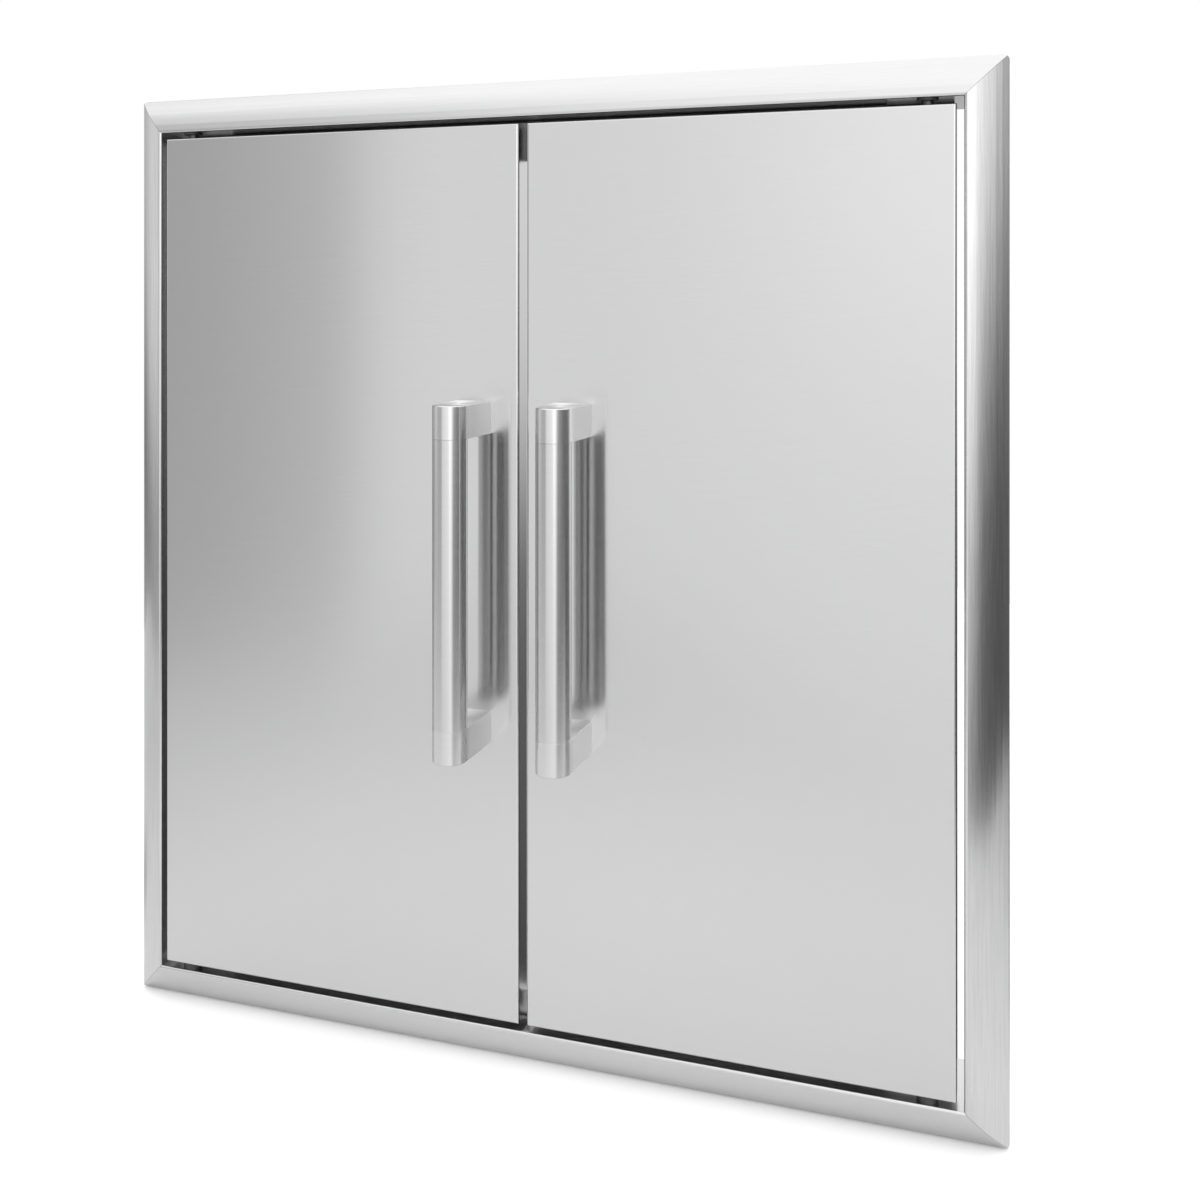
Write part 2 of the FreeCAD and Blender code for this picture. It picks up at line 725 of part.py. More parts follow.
def at_catches(source, name, y=0):
    """A catch's piece in both places behind the top rail."""
    return [
        moved(source, f"{name}{end}", x=side * S.catch_offset, y=y, z=CATCH_Z)
        for side, end in ((-1, "Left"), (1, "Right"))
    ]


def make_catches():
    """Magnets between steel pole plates, in housings that show through the top rail."""
    group("catch_housings", at_catches(make_catch_housing(), "Housing"))
    half_wide = S.catch_width / 2 - S.catch_wall
    inner_half = S.catch_height / 2 - S.catch_wall
    pocket_end = POLE_FRONT + S.pole_proud + S.catch_depth
    magnet = catch_box(
        "Magnet", half_wide, S.pole_thick - inner_half, inner_half - S.pole_thick,
        POLE_FRONT + S.pole_proud, pocket_end,
    )
    group("catch_magnets", at_catches(magnet, "MagnetAt"))
    upper = catch_box(
        "UpperPole", half_wide, inner_half - S.pole_thick, inner_half, POLE_FRONT, pocket_end
    )
    lower = catch_box(
        "LowerPole", half_wide, -inner_half, S.pole_thick - inner_half, POLE_FRONT, pocket_end
    )
    group("catch_pole_plates", at_catches(upper, "Upper") + at_catches(lower, "Lower"))
    seat = RAIL_FRONT + S.rail_sheet + S.catch_ear_thick
    screw = pan_head_screw(
        "CatchScrew", S.catch_screw_radius, S.rail_sheet + S.catch_ear_thick,
        S.catch_screw_head, S.catch_screw_radius,
    )
    offset = (S.catch_width + S.catch_ear) / 2
    places = [side * S.catch_offset + end * offset for side in (-1, 1) for end in (-1, 1)]
    screws = [
        moved(screw, f"CatchScrew{index}", x=x, y=seat, z=CATCH_Z)
        for index, x in enumerate(places)
    ]
    group("catch_screws", screws)


def make_bumpers():
    """Domed rubber bumpers on the lower stop, just clear of the closed doors."""
    body = new_body("Bumper")
    tall = S.rail_gap - S.bumper_gap
    turned(
        body,
        [
            (0, 0),
            (S.bumper_radius, 0),
            (S.bumper_radius, -tall / 2),
            (S.bumper_radius * 0.6, -tall),
            (0, -tall),
        ],
        around="Y_Axis",
        plane="XY_Plane",
    )
    places = [side * x for side in (-1, 1) for x in (S.bumper_inner, S.bumper_outer)]
    bumpers = [
        moved(body, f"Bumper{index}", x=x, y=RAIL_FRONT, z=S.bumper_rise - OPEN_Z)
        for index, x in enumerate(places)
    ]
    group("door_bumpers", bumpers)


# Doors


def draw_door_outline(sketch, inset):
    """A door's outline about its pivot axis, drawn in by an inset."""
    draw_rectangle(
        sketch,
        inset - S.pivot_inset,
        DOOR_WIDTH - S.pivot_inset - inset,
        inset - DOOR_TOP,
        DOOR_TOP - inset,
    )


def cut_handle_holes(body):
    """Clearance holes for the two handle screws."""
    holes = new_sketch(body, "XZ_Plane")
    for side in (1, -1):
        draw_circle(holes, HANDLE_X - PIVOT_X, side * POST_MIDDLE, S.screw_radius + S.clear_fit)
    cut(body, holes)


def cut_pin_holes(body):
    """Holes for the pivot pins through the top and bottom edges."""
    holes = new_sketch(body, "XY_Plane")
    draw_circle(holes, 0, 0, S.pin_radius + S.clear_fit)
    cut(body, holes)


def make_skin():
    """A door's front skin: a tray with softly bent front edges, open at the back."""
    body = new_body("DoorSkin")
    outline = new_sketch(body, "XZ_Plane", lift=S.pivot_depth)
    draw_door_outline(outline, 0)
    block = pad(body, outline, S.door_depth - S.liner_proud, backwards=True)
    front = -S.pivot_depth.value

    def is_front_edge(edge):
        return abs(middle(edge).y - front) < 0.01

    rounded = round_edges(body, block, is_front_edge, S.skin_edge)
    hollow(body, rounded, REAR, S.skin_sheet)
    cut_handle_holes(body)
    cut_pin_holes(body)
    place(body, x=PIVOT_X, y=PIVOT_Y)
    both_doors(body, "door_skin")


def make_liner():
    """A door's inner liner: a shallow tray that closes the back inside the skin's edges."""
    body = new_body("DoorLiner")
    back = S.door_depth - S.pivot_depth
    outline = new_sketch(body, "XZ_Plane", lift=-back)
    draw_door_outline(outline, S.skin_sheet)
    block = pad(body, outline, S.liner_flange)

    def is_back_edge(edge):
        return abs(middle(edge).y - back.value) < 0.01

    rounded = round_edges(body, block, is_back_edge, S.liner_edge)
    hollow(body, rounded, Vector(0, -1, 0), S.liner_sheet)
    cut_handle_holes(body)
    cut_pin_holes(body)
    slot = new_sketch(body, "XZ_Plane")
    half = S.lever_radius + S.lever_slack
    draw_rectangle(slot, -half, half, LEVER_Z - S.pin_travel - half, LEVER_Z + half)
    cut(body, slot)
    place(body, x=PIVOT_X, y=PIVOT_Y)
    both_doors(body, "door_liner")


def make_bracket(name, top, height):
    """A channel inside the door's hinge edge, with a hole in each leg for a pin."""
    body = new_body(name)
    thick = S.bracket_sheet
    web = S.skin_sheet + S.liner_sheet - S.pivot_inset
    reach, low = S.bracket_reach, top - height
    outline = new_sketch(body, "XZ_Plane", lift=S.pivot_depth - S.skin_sheet - S.bracket_side_gap)
    draw_polygon(
        outline,
        [
            (web, low),
            (reach, low),
            (reach, low + thick),
            (web + thick, low + thick),
            (web + thick, top - thick),
            (reach, top - thick),
            (reach, top),
            (web, top),
        ],
    )
    wide = S.door_depth - S.skin_sheet - S.liner_edge - 2 * S.bracket_side_gap
    channel = pad(body, outline, wide, backwards=True)

    def is_bend(edge):
        return is_along(edge, REAR) and abs(middle(edge).x - web.value) < 0.01

    round_edges(body, channel, is_bend, S.bracket_bend)
    bore = new_sketch(body, "XY_Plane")
    draw_circle(bore, 0, 0, PIN_BORE)
    cut(body, bore)
    place(body, x=PIVOT_X, y=PIVOT_Y)
    return body


def make_brackets():
    upper_height = 2 * S.bracket_sheet + S.seat_gap + S.collar_thick + S.spring_length
    both_doors(make_bracket("UpperBracket", BRACKET_TOP, upper_height), "pivot_bracket_upper")
    foot = make_bracket("LowerBracket", S.foot_height - BRACKET_TOP, S.foot_height)
    both_doors(foot, "pivot_bracket_lower")


def make_lower_pin():
    """The fixed pin that carries a door: through its bracket, down into the frame."""
    body = new_body("LowerPin")
    low = S.seat_gap - OPEN_Z - S.bush_reach
    high = S.foot_height - BRACKET_TOP + S.seat_gap
    radius, bevel = S.pin_radius, S.pin_chamfer
    turned(
        body,
        [
            (0, low),
            (radius - bevel, low),
            (radius, low + bevel),
            (radius, high),
            (0, high),
        ],
    )
    place(body, x=PIVOT_X, y=PIVOT_Y)
    both_doors(body, "pivot_pin_lower")


def make_upper_pin():
    """The sprung pin at a door's top, with its collar and the lever that draws it down."""
    body = new_body("UpperPin")
    high = OPEN_Z + S.bush_reach - S.seat_gap
    low = SPRING_BOTTOM - S.bracket_sheet - S.pin_tail
    radius, bevel, collar = S.pin_radius, S.pin_chamfer, S.collar_radius
    turned(
        body,
        [
            (0, low),
            (radius - bevel, low),
            (radius, low + bevel),
            (radius, COLLAR_BOTTOM),
            (collar, COLLAR_BOTTOM),
            (collar, COLLAR_TOP),
            (radius, COLLAR_TOP),
            (radius, high - bevel),
            (radius - bevel, high),
            (0, high),
        ],
    )
    lever = new_sketch(body, "XZ_Plane")
    draw_circle(lever, 0, LEVER_Z, S.lever_radius)
    reach = S.door_depth - S.pivot_depth + S.lever_reach
    pad(body, lever, reach, backwards=True)
    place(body, x=PIVOT_X, y=PIVOT_Y)
    both_doors(body, "pivot_pin_upper")


def make_spring():
    """The spring between the upper pin's collar and its bracket, as a plain sleeve."""
    body = new_body("Spring")
    inner = S.spring_radius - S.spring_wire
    low, high = SPRING_BOTTOM, COLLAR_BOTTOM
    turned(
        body,
        [(inner, low), (S.spring_radius, low), (S.spring_radius, high), (inner, high)],
    )
    place(body, x=PIVOT_X, y=PIVOT_Y)
    both_doors(body, "pivot_spring")


def make_bushes():
    """Rimmed bushes in the frame's top and bottom, in the hollow behind its face."""
    body = new_body("Bush")
    rim = BUSH_RADIUS + S.bush_rim
    turned(
        body,
        [
            (PIN_BORE, -S.bush_rim_thick),
            (rim, -S.bush_rim_thick),
            (rim, 0),
            (BUSH_RADIUS, 0),
            (BUSH_RADIUS, S.bush_reach),
            (PIN_BORE, S.bush_reach),
        ],
    )
    over = Rotation(RIGHT, 180)
    uppers = []
    lowers = []
    for end, x in (("Left", PIVOT_X), ("Right", -PIVOT_X)):
        uppers.append(moved(body, f"BushUpper{end}", x, PIVOT_Y, OPEN_Z))
        lowers.append(moved(body, f"BushLower{end}", x, PIVOT_Y, -OPEN_Z, over))
    group("pivot_bushes_upper", uppers)
    group("pivot_bushes_lower", lowers)


def make_washers():
    """Thrust washers on the lower bushes, which the doors rest on."""
    body = new_body("Washer")
    outer = PIN_BORE + S.washer_width
    thick = S.end_gap - S.bush_rim_thick - S.seat_gap
    turned(body, [(PIN_BORE, 0), (outer, 0), (outer, thick), (PIN_BORE, thick)])
    low = S.bush_rim_thick - OPEN_Z
    washers = [
        moved(body, f"Washer{end}", x, PIVOT_Y, low)
        for end, x in (("Left", PIVOT_X), ("Right", -PIVOT_X))
    ]
    group("thrust_washers", washers)


def make_strikers():
    """A steel plate riveted to each liner, for the magnet to hold."""
    body = new_body("Striker")
    half_wide, half_high = S.striker_width / 2, S.striker_height / 2
    outline = new_sketch(body, "XZ_Plane")
    draw_rectangle(outline, -half_wide, half_wide, -half_high, half_high)
    pad(body, outline, S.striker_thick, backwards=True)
    holes = new_sketch(body, "XZ_Plane")
    rivet_x = half_wide - S.rivet_inset
    for side in (1, -1):
        draw_circle(holes, side * rivet_x, 0, S.rivet_radius)
    cut(body, holes)
    place(body, x=-S.catch_offset, y=DOOR_BACK, z=CATCH_Z)
    both_doors(body, "striker_plate")

    rivet = new_body("Rivet")
    top = S.striker_thick + S.rivet_radius * 0.55
    head = S.rivet_radius * 1.6
    turned(
        rivet,
        [
            (0, 0),
            (S.rivet_radius, 0),
            (S.rivet_radius, S.striker_thick),
            (head, S.striker_thick),
            (head, top),
            (0, top),
        ],
        around="Y_Axis",
        plane="XY_Plane",
    )
    rivets = [
        moved(rivet, f"Rivet{end}", side * rivet_x - S.catch_offset, DOOR_BACK, CATCH_Z)
        for side, end in ((-1, "Outer"), (1, "Inner"))
    ]
    left = group("striker_rivets_left", rivets)
    finish(mirrored(left, "striker_rivets_right", RIGHT), "striker_rivets_right")


# Handles


def make_handle_tube():
    """The bar of a handle, between its two posts."""
    body = new_body("HandleTube")
    half = S.handle_length / 2 - S.post_height
    outer, inner = S.handle_radius, S.handle_radius - S.tube_wall
    turned(body, [(inner, -half), (outer, -half), (outer, half), (inner, half)])
    place(body, x=HANDLE_X, y=HANDLE_Y)
    both_doors(body, "handle_tube")


def draw_post_section(sketch):
    """A handle post from above: the bar's round front, widening in straight lines."""
    radius, foot, reach = S.handle_radius, S.post_foot / 2, S.handle_standoff
    corner = Vector(foot.value, reach.value, 0)
    touch = math.atan2(corner.y, corner.x) - math.acos(radius.value / corner.Length)
    front = arc_between(Vector(0, 0, 0), radius.value, math.pi - touch, 2 * math.pi + touch)
    arc = sketch.addGeometry(front, False)
    right = Vector(math.cos(touch), math.sin(touch), 0) * radius.value
    corners = [right, corner, Vector(-corner.x, corner.y, 0), Vector(-right.x, right.y, 0)]
    lines = [
        sketch.addGeometry(Part.LineSegment(corners[i], corners[i + 1]), False) for i in range(3)
    ]
    constrain(sketch, "Tangent", arc, 2, lines[0], 1)
    constrain(sketch, "Coincident", lines[0], 2, lines[1], 1)
    constrain(sketch, "Coincident", lines[1], 2, lines[2], 1)
    constrain(sketch, "Tangent", lines[2], 2, arc, 1)
    constrain(sketch, "Radius", arc, size=radius)
    fix_point(sketch, arc, 3, 0, 0)
    fix_point(sketch, lines[1], 1, foot, reach)
    fix_point(sketch, lines[1], 2, -foot, reach)


def make_handle_posts():
    """A handle's ends: the bar's round carried straight to the door, and a spigot."""
    body = new_body("HandlePost")
    half = S.post_height / 2
    section = new_sketch(body, "XY_Plane", lift=-half)
    draw_post_section(section)
    block = pad(body, section, S.post_height)

    def is_front_at(edge, height):
        box = edge.BoundBox
        level = abs(box.ZMin - number(height)) < 0.01 and box.ZLength < 0.01
        return level and box.YMin < -S.handle_radius.value / 2

    bevelled = bevel_edges(body, block, lambda edge: is_front_at(edge, half), S.post_edge)
    bevel_edges(body, bevelled, lambda edge: is_front_at(edge, -half), S.seam_chamfer)
    spigot = new_sketch(body, "XY_Plane", lift=-half)
    draw_circle(spigot, 0, 0, S.handle_radius - S.tube_wall - S.spigot_fit)
    pad(body, spigot, S.spigot_length, backwards=True)
    hole = new_sketch(body, "XZ_Plane", lift=-S.handle_standoff)
    draw_circle(hole, 0, 0, S.screw_radius + S.screw_fit)
    cut(body, hole, length=S.screw_grip + S.screw_radius, backwards=True, both_ways=False)
    place(body, x=HANDLE_X, y=HANDLE_Y, z=POST_MIDDLE)
    both_doors(body, "handle_post_upper")
    both_doors(mirrored(body, "HandlePostLower", UP), "handle_post_lower")


def make_handle_screws():
    """Screws from the liner's back into the posts, through sleeves that keep the gap."""
    shank = S.door_depth + S.screw_grip
    screw = pan_head_screw(
        "HandleScrew", S.screw_radius, shank, S.screw_head_radius, S.screw_head_thick
    )
    screws = [
        moved(screw, f"HandleScrew{end}", HANDLE_X, DOOR_BACK, side * POST_MIDDLE)
        for side, end in ((1, "Upper"), (-1, "Lower"))
    ]
    left = group("handle_screws_left", screws)
    finish(mirrored(left, "handle_screws_right", RIGHT), "handle_screws_right")

    sleeve = new_body("Sleeve")
    inner = S.screw_radius + S.clear_fit
    outer = inner + S.sleeve_wall
    deep = LINER_INSIDE - SKIN_INSIDE
    turned(
        sleeve,
        [(inner, 0), (outer, 0), (outer, deep), (inner, deep)],
        around="Y_Axis",
        plane="XY_Plane",
    )
    sleeves = [
        moved(sleeve, f"Sleeve{end}", HANDLE_X, SKIN_INSIDE, side * POST_MIDDLE)
        for side, end in ((1, "Upper"), (-1, "Lower"))
    ]
    left = group("handle_sleeves_left", sleeves)
    finish(mirrored(left, "handle_sleeves_right", RIGHT), "handle_sleeves_right")


def check_and_write():
    """Checks every object, then writes each finished piece to its own file."""
    document.recompute()
    for item in document.Objects:
        if {"Invalid", "Error"} & set(item.State):
            raise RuntimeError(f"{item.Label} failed: {item.State}")
        if item.isDerivedFrom("Sketcher::SketchObject") and not item.FullyConstrained:
            raise RuntimeError(f"{item.Label} isn't fully constrained")
    for name, item in finished.items():
        if item.Shape.isNull() or not item.Shape.isValid() or not item.Shape.Solids:
            raise RuntimeError(f"{name} has no valid solid")
    os.makedirs("parts", exist_ok=True)
    for name, item in finished.items():
        item.Shape.exportStep(f"parts/{name}.step")
        print(f"{name}: {len(item.Shape.Solids)} solids, {item.Shape.Volume:.0f} mm3")


make_frame()
make_rails()
make_catches()
make_bumpers()
make_skin()
make_liner()
make_brackets()
make_lower_pin()
make_upper_pin()
make_spring()
make_bushes()
make_washers()
make_strikers()
make_handle_tube()
make_handle_posts()
make_handle_screws()
check_and_write()
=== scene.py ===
# %% [markdown]
# # A double access door for an outdoor kitchen
#
# The object is a pair of flush stainless doors in a mitred frame, with a round bar
# handle on each door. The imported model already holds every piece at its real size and
# place, so most of the work here is finish: how each sheet was brushed, how the bars
# were polished, and what the plated, moulded and sintered pieces behind them look like.
# Some pieces get their small forms here as well: the ground tips of the trims, the
# recess in a screw's head, the crown of a rivet or bumper, and the turns of a spring.

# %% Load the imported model
import bpy
import json
import math
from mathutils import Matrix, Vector


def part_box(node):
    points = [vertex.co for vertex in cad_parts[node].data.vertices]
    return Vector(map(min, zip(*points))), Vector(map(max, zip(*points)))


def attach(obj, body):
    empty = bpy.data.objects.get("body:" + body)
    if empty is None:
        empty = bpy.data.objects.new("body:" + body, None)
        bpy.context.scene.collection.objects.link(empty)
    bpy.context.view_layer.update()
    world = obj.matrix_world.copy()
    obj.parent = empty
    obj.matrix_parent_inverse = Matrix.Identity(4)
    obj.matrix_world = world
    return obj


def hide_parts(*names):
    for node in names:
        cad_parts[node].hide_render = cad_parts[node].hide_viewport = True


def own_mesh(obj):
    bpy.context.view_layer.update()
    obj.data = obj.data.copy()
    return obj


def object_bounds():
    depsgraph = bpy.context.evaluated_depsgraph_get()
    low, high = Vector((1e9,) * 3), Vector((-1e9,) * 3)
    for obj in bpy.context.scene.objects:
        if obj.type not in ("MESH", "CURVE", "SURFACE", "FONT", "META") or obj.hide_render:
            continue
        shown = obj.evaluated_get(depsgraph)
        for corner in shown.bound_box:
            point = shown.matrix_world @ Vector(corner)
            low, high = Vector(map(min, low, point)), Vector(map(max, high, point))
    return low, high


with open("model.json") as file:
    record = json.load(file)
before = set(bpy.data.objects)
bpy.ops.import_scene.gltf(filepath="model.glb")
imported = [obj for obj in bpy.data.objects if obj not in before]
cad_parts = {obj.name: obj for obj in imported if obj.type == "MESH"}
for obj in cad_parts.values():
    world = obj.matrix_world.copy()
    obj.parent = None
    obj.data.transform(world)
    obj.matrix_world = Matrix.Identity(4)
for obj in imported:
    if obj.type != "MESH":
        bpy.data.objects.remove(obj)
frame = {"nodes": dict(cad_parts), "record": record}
cad_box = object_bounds()
nodes = frame["nodes"]
print(len(nodes), "pieces loaded, from", tuple(round(v, 3) for v in cad_box[0]))

# %% [markdown]
# ## The studio
#
# Brushed steel has hardly any colour of its own: what we see on it is the room. So the
# room is the first thing to settle. It is plain: a pale floor, a white backdrop, and
# soft light that is strongest overhead and to the right of the camera, and weaker
# towards the left. A big soft source could be made with area lamps, but a lamp leaves a
# hard-edged patch on a mirror-like sheet. A world whose brightness changes smoothly with
# direction gives the same light without edges.
#
# The Standard view transform comes first, because it shows a colour as it is written.

# %% Colour management
scene = bpy.context.scene
scene.view_settings.view_transform = "Standard"
print("view transform:", scene.view_settings.view_transform)


# %% [markdown]
# ## Shader maths
#
# A material is a small sum over a surface: so much grain, so much wear. Sums are easier
# to read as sums than as a web of nodes, so one small class wraps a socket and turns
# Python's own operators into Math nodes. Two plain numbers never meet here, because
# Python adds those by itself. Every node comes from one function, which sets the node
# up first, then fills its sockets with numbers or links.

# %% A value that adds its own nodes
class Field:
    """A number, colour or vector that varies over a surface or over the sky."""

    def __init__(self, tree, socket):
        self.tree = tree
        self.socket = socket

    def maths(self, operation, *others, flip=False):
        """One Math node on this value and the others, which come first if flipped."""
        values = (*others, self) if flip else (self, *others)
        settings = {"operation": operation}
        return add_node(self.tree, "ShaderNodeMath", settings, values)

    def __add__(self, other):
        return self.maths("ADD", other)

    __radd__ = __add__

    def __sub__(self, other):
        return self.maths("SUBTRACT", other)

    def __rsub__(self, other):
        return self.maths("SUBTRACT", other, flip=True)

    def __mul__(self, other):
        return self.maths("MULTIPLY", other)

    __rmul__ = __mul__

    def __pow__(self, other):
        return self.maths("POWER", other)

    def ramp(self, low, high):
        """0 below low, 1 above high and a smooth rise between them."""
        settings = {"interpolation_type": "SMOOTHSTEP"}
        values = (self, low, high, 0.0, 1.0)
        return add_node(self.tree, "ShaderNodeMapRange", settings, values)


def add_node(tree, kind, settings=None, inputs=(), output=0):
    """Adds a node, sets it up, fills its sockets and hands back one of its outputs."""
    node = tree.nodes.new(kind)
    for name, value in (settings or {}).items():
        setattr(node, name, value)
    pairs = inputs.items() if isinstance(inputs, dict) else enumerate(inputs)
    for key, value in pairs:
        if isinstance(value, Field):
            tree.links.new(value.socket, node.inputs[key])
        else:
            node.inputs[key].default_value = value
    return Field(tree, node.outputs[output]) if node.outputs else None


# %% [markdown]
# A pattern is measured from a place. Object coordinates are metres on the finished
# piece, so a streak keeps its real width on every piece, and stays where it is when the
# piece moves. Multiplying the place before a Noise node reads it stretches the noise: a
# large factor packs it close along that axis, and a small one draws it out in streaks.

# %% Places and noise
def parts_of(vector):
    """The x, y and z of a vector."""
    first = add_node(vector.tree, "ShaderNodeSeparateXYZ", None, [vector])
    return [Field(vector.tree, socket) for socket in first.socket.node.outputs]


def noise(place, density, detail=2.0, roughness=0.5):
    """Noise from 0 to 1: density is how many spots a metre holds along x, y and z."""
    settings = {"operation": "MULTIPLY"}
    stretched = add_node(place.tree, "ShaderNodeVectorMath", settings, [place, density])
    inputs = {"Vector": stretched, "Scale": 1.0, "Detail": detail, "Roughness": roughness}
    return add_node(place.tree, "ShaderNodeTexNoise", None, inputs)


# %% [markdown]
# A Math node would turn a colour grey, so colours meet in a Mix node, which fades from
# one to the other by a field. Relief comes from a Bump node: it reads a height and tilts
# the surface as if that height were there. What changes over a surface is linked to the
# shader, and what is the same all over is written on the shader's own socket.

# %% Materials, colours and relief
WHITE = (1.0, 1.0, 1.0)
MIX_FACTOR, MIX_START, MIX_END, MIX_RESULT = 0, 6, 7, 2  # a Mix node's colour sockets


def grey(level):
    return (level, level, level)


def new_material(name):
    """An empty material, its shader, and the place on the piece."""
    material = bpy.data.materials.new(name)
    material.use_nodes = True
    tree = material.node_tree
    place = add_node(tree, "ShaderNodeTexCoord", output="Object")
    return material, tree.nodes["Principled BSDF"], place


def feed(shader, name, field):
    """Links a field to the shader's socket of that name."""
    field.tree.links.new(field.socket, shader.inputs[name])


def tint(field, start, end):
    """A colour that goes from start to end as the field goes from 0 to 1."""
    settings = {"data_type": "RGBA"}
    first = start if isinstance(start, Field) else (*start, 1.0)
    inputs = {MIX_FACTOR: field, MIX_START: first, MIX_END: (*end, 1.0)}
    return add_node(field.tree, "ShaderNodeMix", settings, inputs, MIX_RESULT)


def bump(height, distance, strength=1.0):
    """The normal of a surface with this height, as high as distance where it is 1."""
    inputs = {"Height": height, "Distance": distance, "Strength": strength}
    return add_node(height.tree, "ShaderNodeBump", None, inputs)


# %% [markdown]
# The room is drawn as a photographer would build it round the object, by compass
# direction and height. Azimuth is 0 straight in front of the doors and grows towards
# the right, elevation is 0 at eye level, and both are in degrees. A level of 1 is white.
# Each thing in the room is a window in azimuth and elevation with soft sides.

# %% Directions in the room
DEGREES = 180 / math.pi


def window(value, low, high, soft):
    """1 between two values and 0 outside them, with sides as wide as soft."""
    rise = value.ramp(low - soft / 2, low + soft / 2)
    return rise * (1 - value.ramp(high - soft / 2, high + soft / 2))


world = bpy.data.worlds.new("studio")
scene.world = world
world.use_nodes = True
sky = world.node_tree
sky.nodes.clear()
x, y, z = parts_of(add_node(sky, "ShaderNodeTexCoord", output="Generated"))
azimuth = x.maths("ARCTAN2", y * -1) * DEGREES
elevation = z.maths("ARCSINE") * DEGREES
print("directions made of", len(sky.nodes), "nodes")

# %% [markdown]
# In front stands a pale wall that gets dimmer towards the left in two steps, one soft
# and one sharp, and paler near the middle above eye level. On the left there is a window
# with a band of dark cloth across it, which hangs lower and darker the nearer it comes
# to the front. Both end before the directions that the flat doors mirror, so that only
# the frame and the round handles show them.

# %% The wall in front and the window on the left
WALL_LEVEL, SOFT_STEP, SHARP_STEP, UPPER_STEP = 0.55, 0.25, 0.22, 0.3
front = WALL_LEVEL + azimuth.ramp(-38, -24) * SOFT_STEP
front = front + azimuth.ramp(-30, -26.5) * SHARP_STEP
front = front + azimuth.ramp(-20, 2) * elevation.ramp(-12, 8) * UPPER_STEP

WINDOW_LEVEL, CLOTH_LEVEL, CLOTH_DROP = 0.5, 0.35, 7
past_doors = 1 - azimuth.ramp(-72, -58)
left_window = azimuth.ramp(-125, -75) * WINDOW_LEVEL * past_doors
nearer = azimuth.ramp(-137, -79)
left_cloth = window(elevation + nearer * CLOTH_DROP, -9, 1, 14)
left_cloth = left_cloth * (CLOTH_LEVEL + nearer * CLOTH_LEVEL) * past_doors
print("front and left added, now", len(sky.nodes), "nodes")

# %% [markdown]
# On the right there is a dark wall with a pale end near the front and a dim panel far
# round. A glow stands on it whose lower rim climbs the further round it goes, and that
# gives round and turned steel its dark edge. A tall strip light and one high key light
# brighten the bars and the right-hand trim.

# %% The wall and the lights on the right
DARK_LEVEL, PALE_END, FAR_PANEL = 0.09, 0.55, 0.35
right_wall = DARK_LEVEL + (1 - azimuth.ramp(12, 44)) * PALE_END
right_wall = right_wall + window(azimuth, 104, 128, 24) * FAR_PANEL

RIM_CLIMB, RIM_DEPTH, GLOW_FAR, GLOW_NEAR = 12, 8, 0.2, 1.05
rim = azimuth.ramp(20, 70) * RIM_CLIMB - RIM_DEPTH
glow_level = GLOW_FAR + (1 - azimuth.ramp(64, 104)) * GLOW_NEAR
glow = (elevation - rim).ramp(-12, 12) * glow_level

STRIP_LEVEL, KEY_LEVEL = 0.5, 1.1
strip_light = window(azimuth, 20, 41, 10) * elevation.ramp(-26, -12) * STRIP_LEVEL
key_light = window(azimuth, 20, 80, 16) * window(elevation, 28, 64, 16) * KEY_LEVEL
print("right side added, now", len(sky.nodes), "nodes")

# %% [markdown]
# The two sides fade into each other just right of the middle. A wall behind shows only
# in the gap between the doors, and a bright ceiling closes the room. The camera itself
# sees plain white, so the backdrop stays clean.

# %% The whole room
BACK_LEVEL, CEILING_LEVEL = 0.75, 1.5
turned_right = azimuth.ramp(4, 22)
walls = (front + left_window - left_cloth) * (1 - turned_right)
walls = walls + (right_wall + glow + strip_light) * turned_right
back_wall = azimuth.maths("ABSOLUTE").ramp(147, 154) * elevation.ramp(-14, -2)
walls = walls + back_wall * BACK_LEVEL
ceiling = elevation.ramp(20, 70)
light = walls * (1 - ceiling) + ceiling * CEILING_LEVEL + key_light

seen = add_node(sky, "ShaderNodeLightPath", output="Is Camera Ray")
inputs = {"Color": (*WHITE, 1.0), "Strength": light * (1 - seen) + seen}
emitter = add_node(sky, "ShaderNodeBackground", None, inputs)
add_node(sky, "ShaderNodeOutputWorld", None, {"Surface": emitter})
print("studio light made of", len(sky.nodes), "nodes")

# %% [markdown]
# The floor is one sheet of pale card that the frame stands on, turned so that an edge of
# it runs past the object's right side. The side of the frame mirrors the card low down
# and the dim room beyond it further up. The card's colour holds painted light: a painted
# pool of light, palest just in front of the frame and greyer away from it, and a painted
# shadow of the doors, nearly black, behind them, where only the gap between the doors
# mirrors it. The camera sees it as plain white paper, so it runs into the white backdrop
# without a line, while the object's shadow still shows on it.

# %% The floor
CARD_SIZE, CARD_TURN = (2.7, 2.3), math.radians(42.2)
CARD_MIDDLE = (-0.19, 0.3, cad_box[0].z - 0.0005)
# The first two greys paint a pool of light on the card, pale near the frame and dim far
# off; the third paints the doors' shadow behind them.
CARD_NEAR, CARD_FAR, CARD_PAINTED_SHADOW = grey(0.88), grey(0.6), grey(0.1)
PALEST = (0.05, -0.15)  # the palest spot of the card, just in front of the frame
CARD_ROUGHNESS = 0.9
bpy.ops.object.select_all(action="DESELECT")
bpy.ops.mesh.primitive_plane_add(
    size=1, location=CARD_MIDDLE, rotation=(0, 0, CARD_TURN)
)
floor = bpy.context.object
floor.name = "floor"
floor.scale = (*CARD_SIZE, 1)
bpy.ops.object.transform_apply(location=True, rotation=True, scale=True)

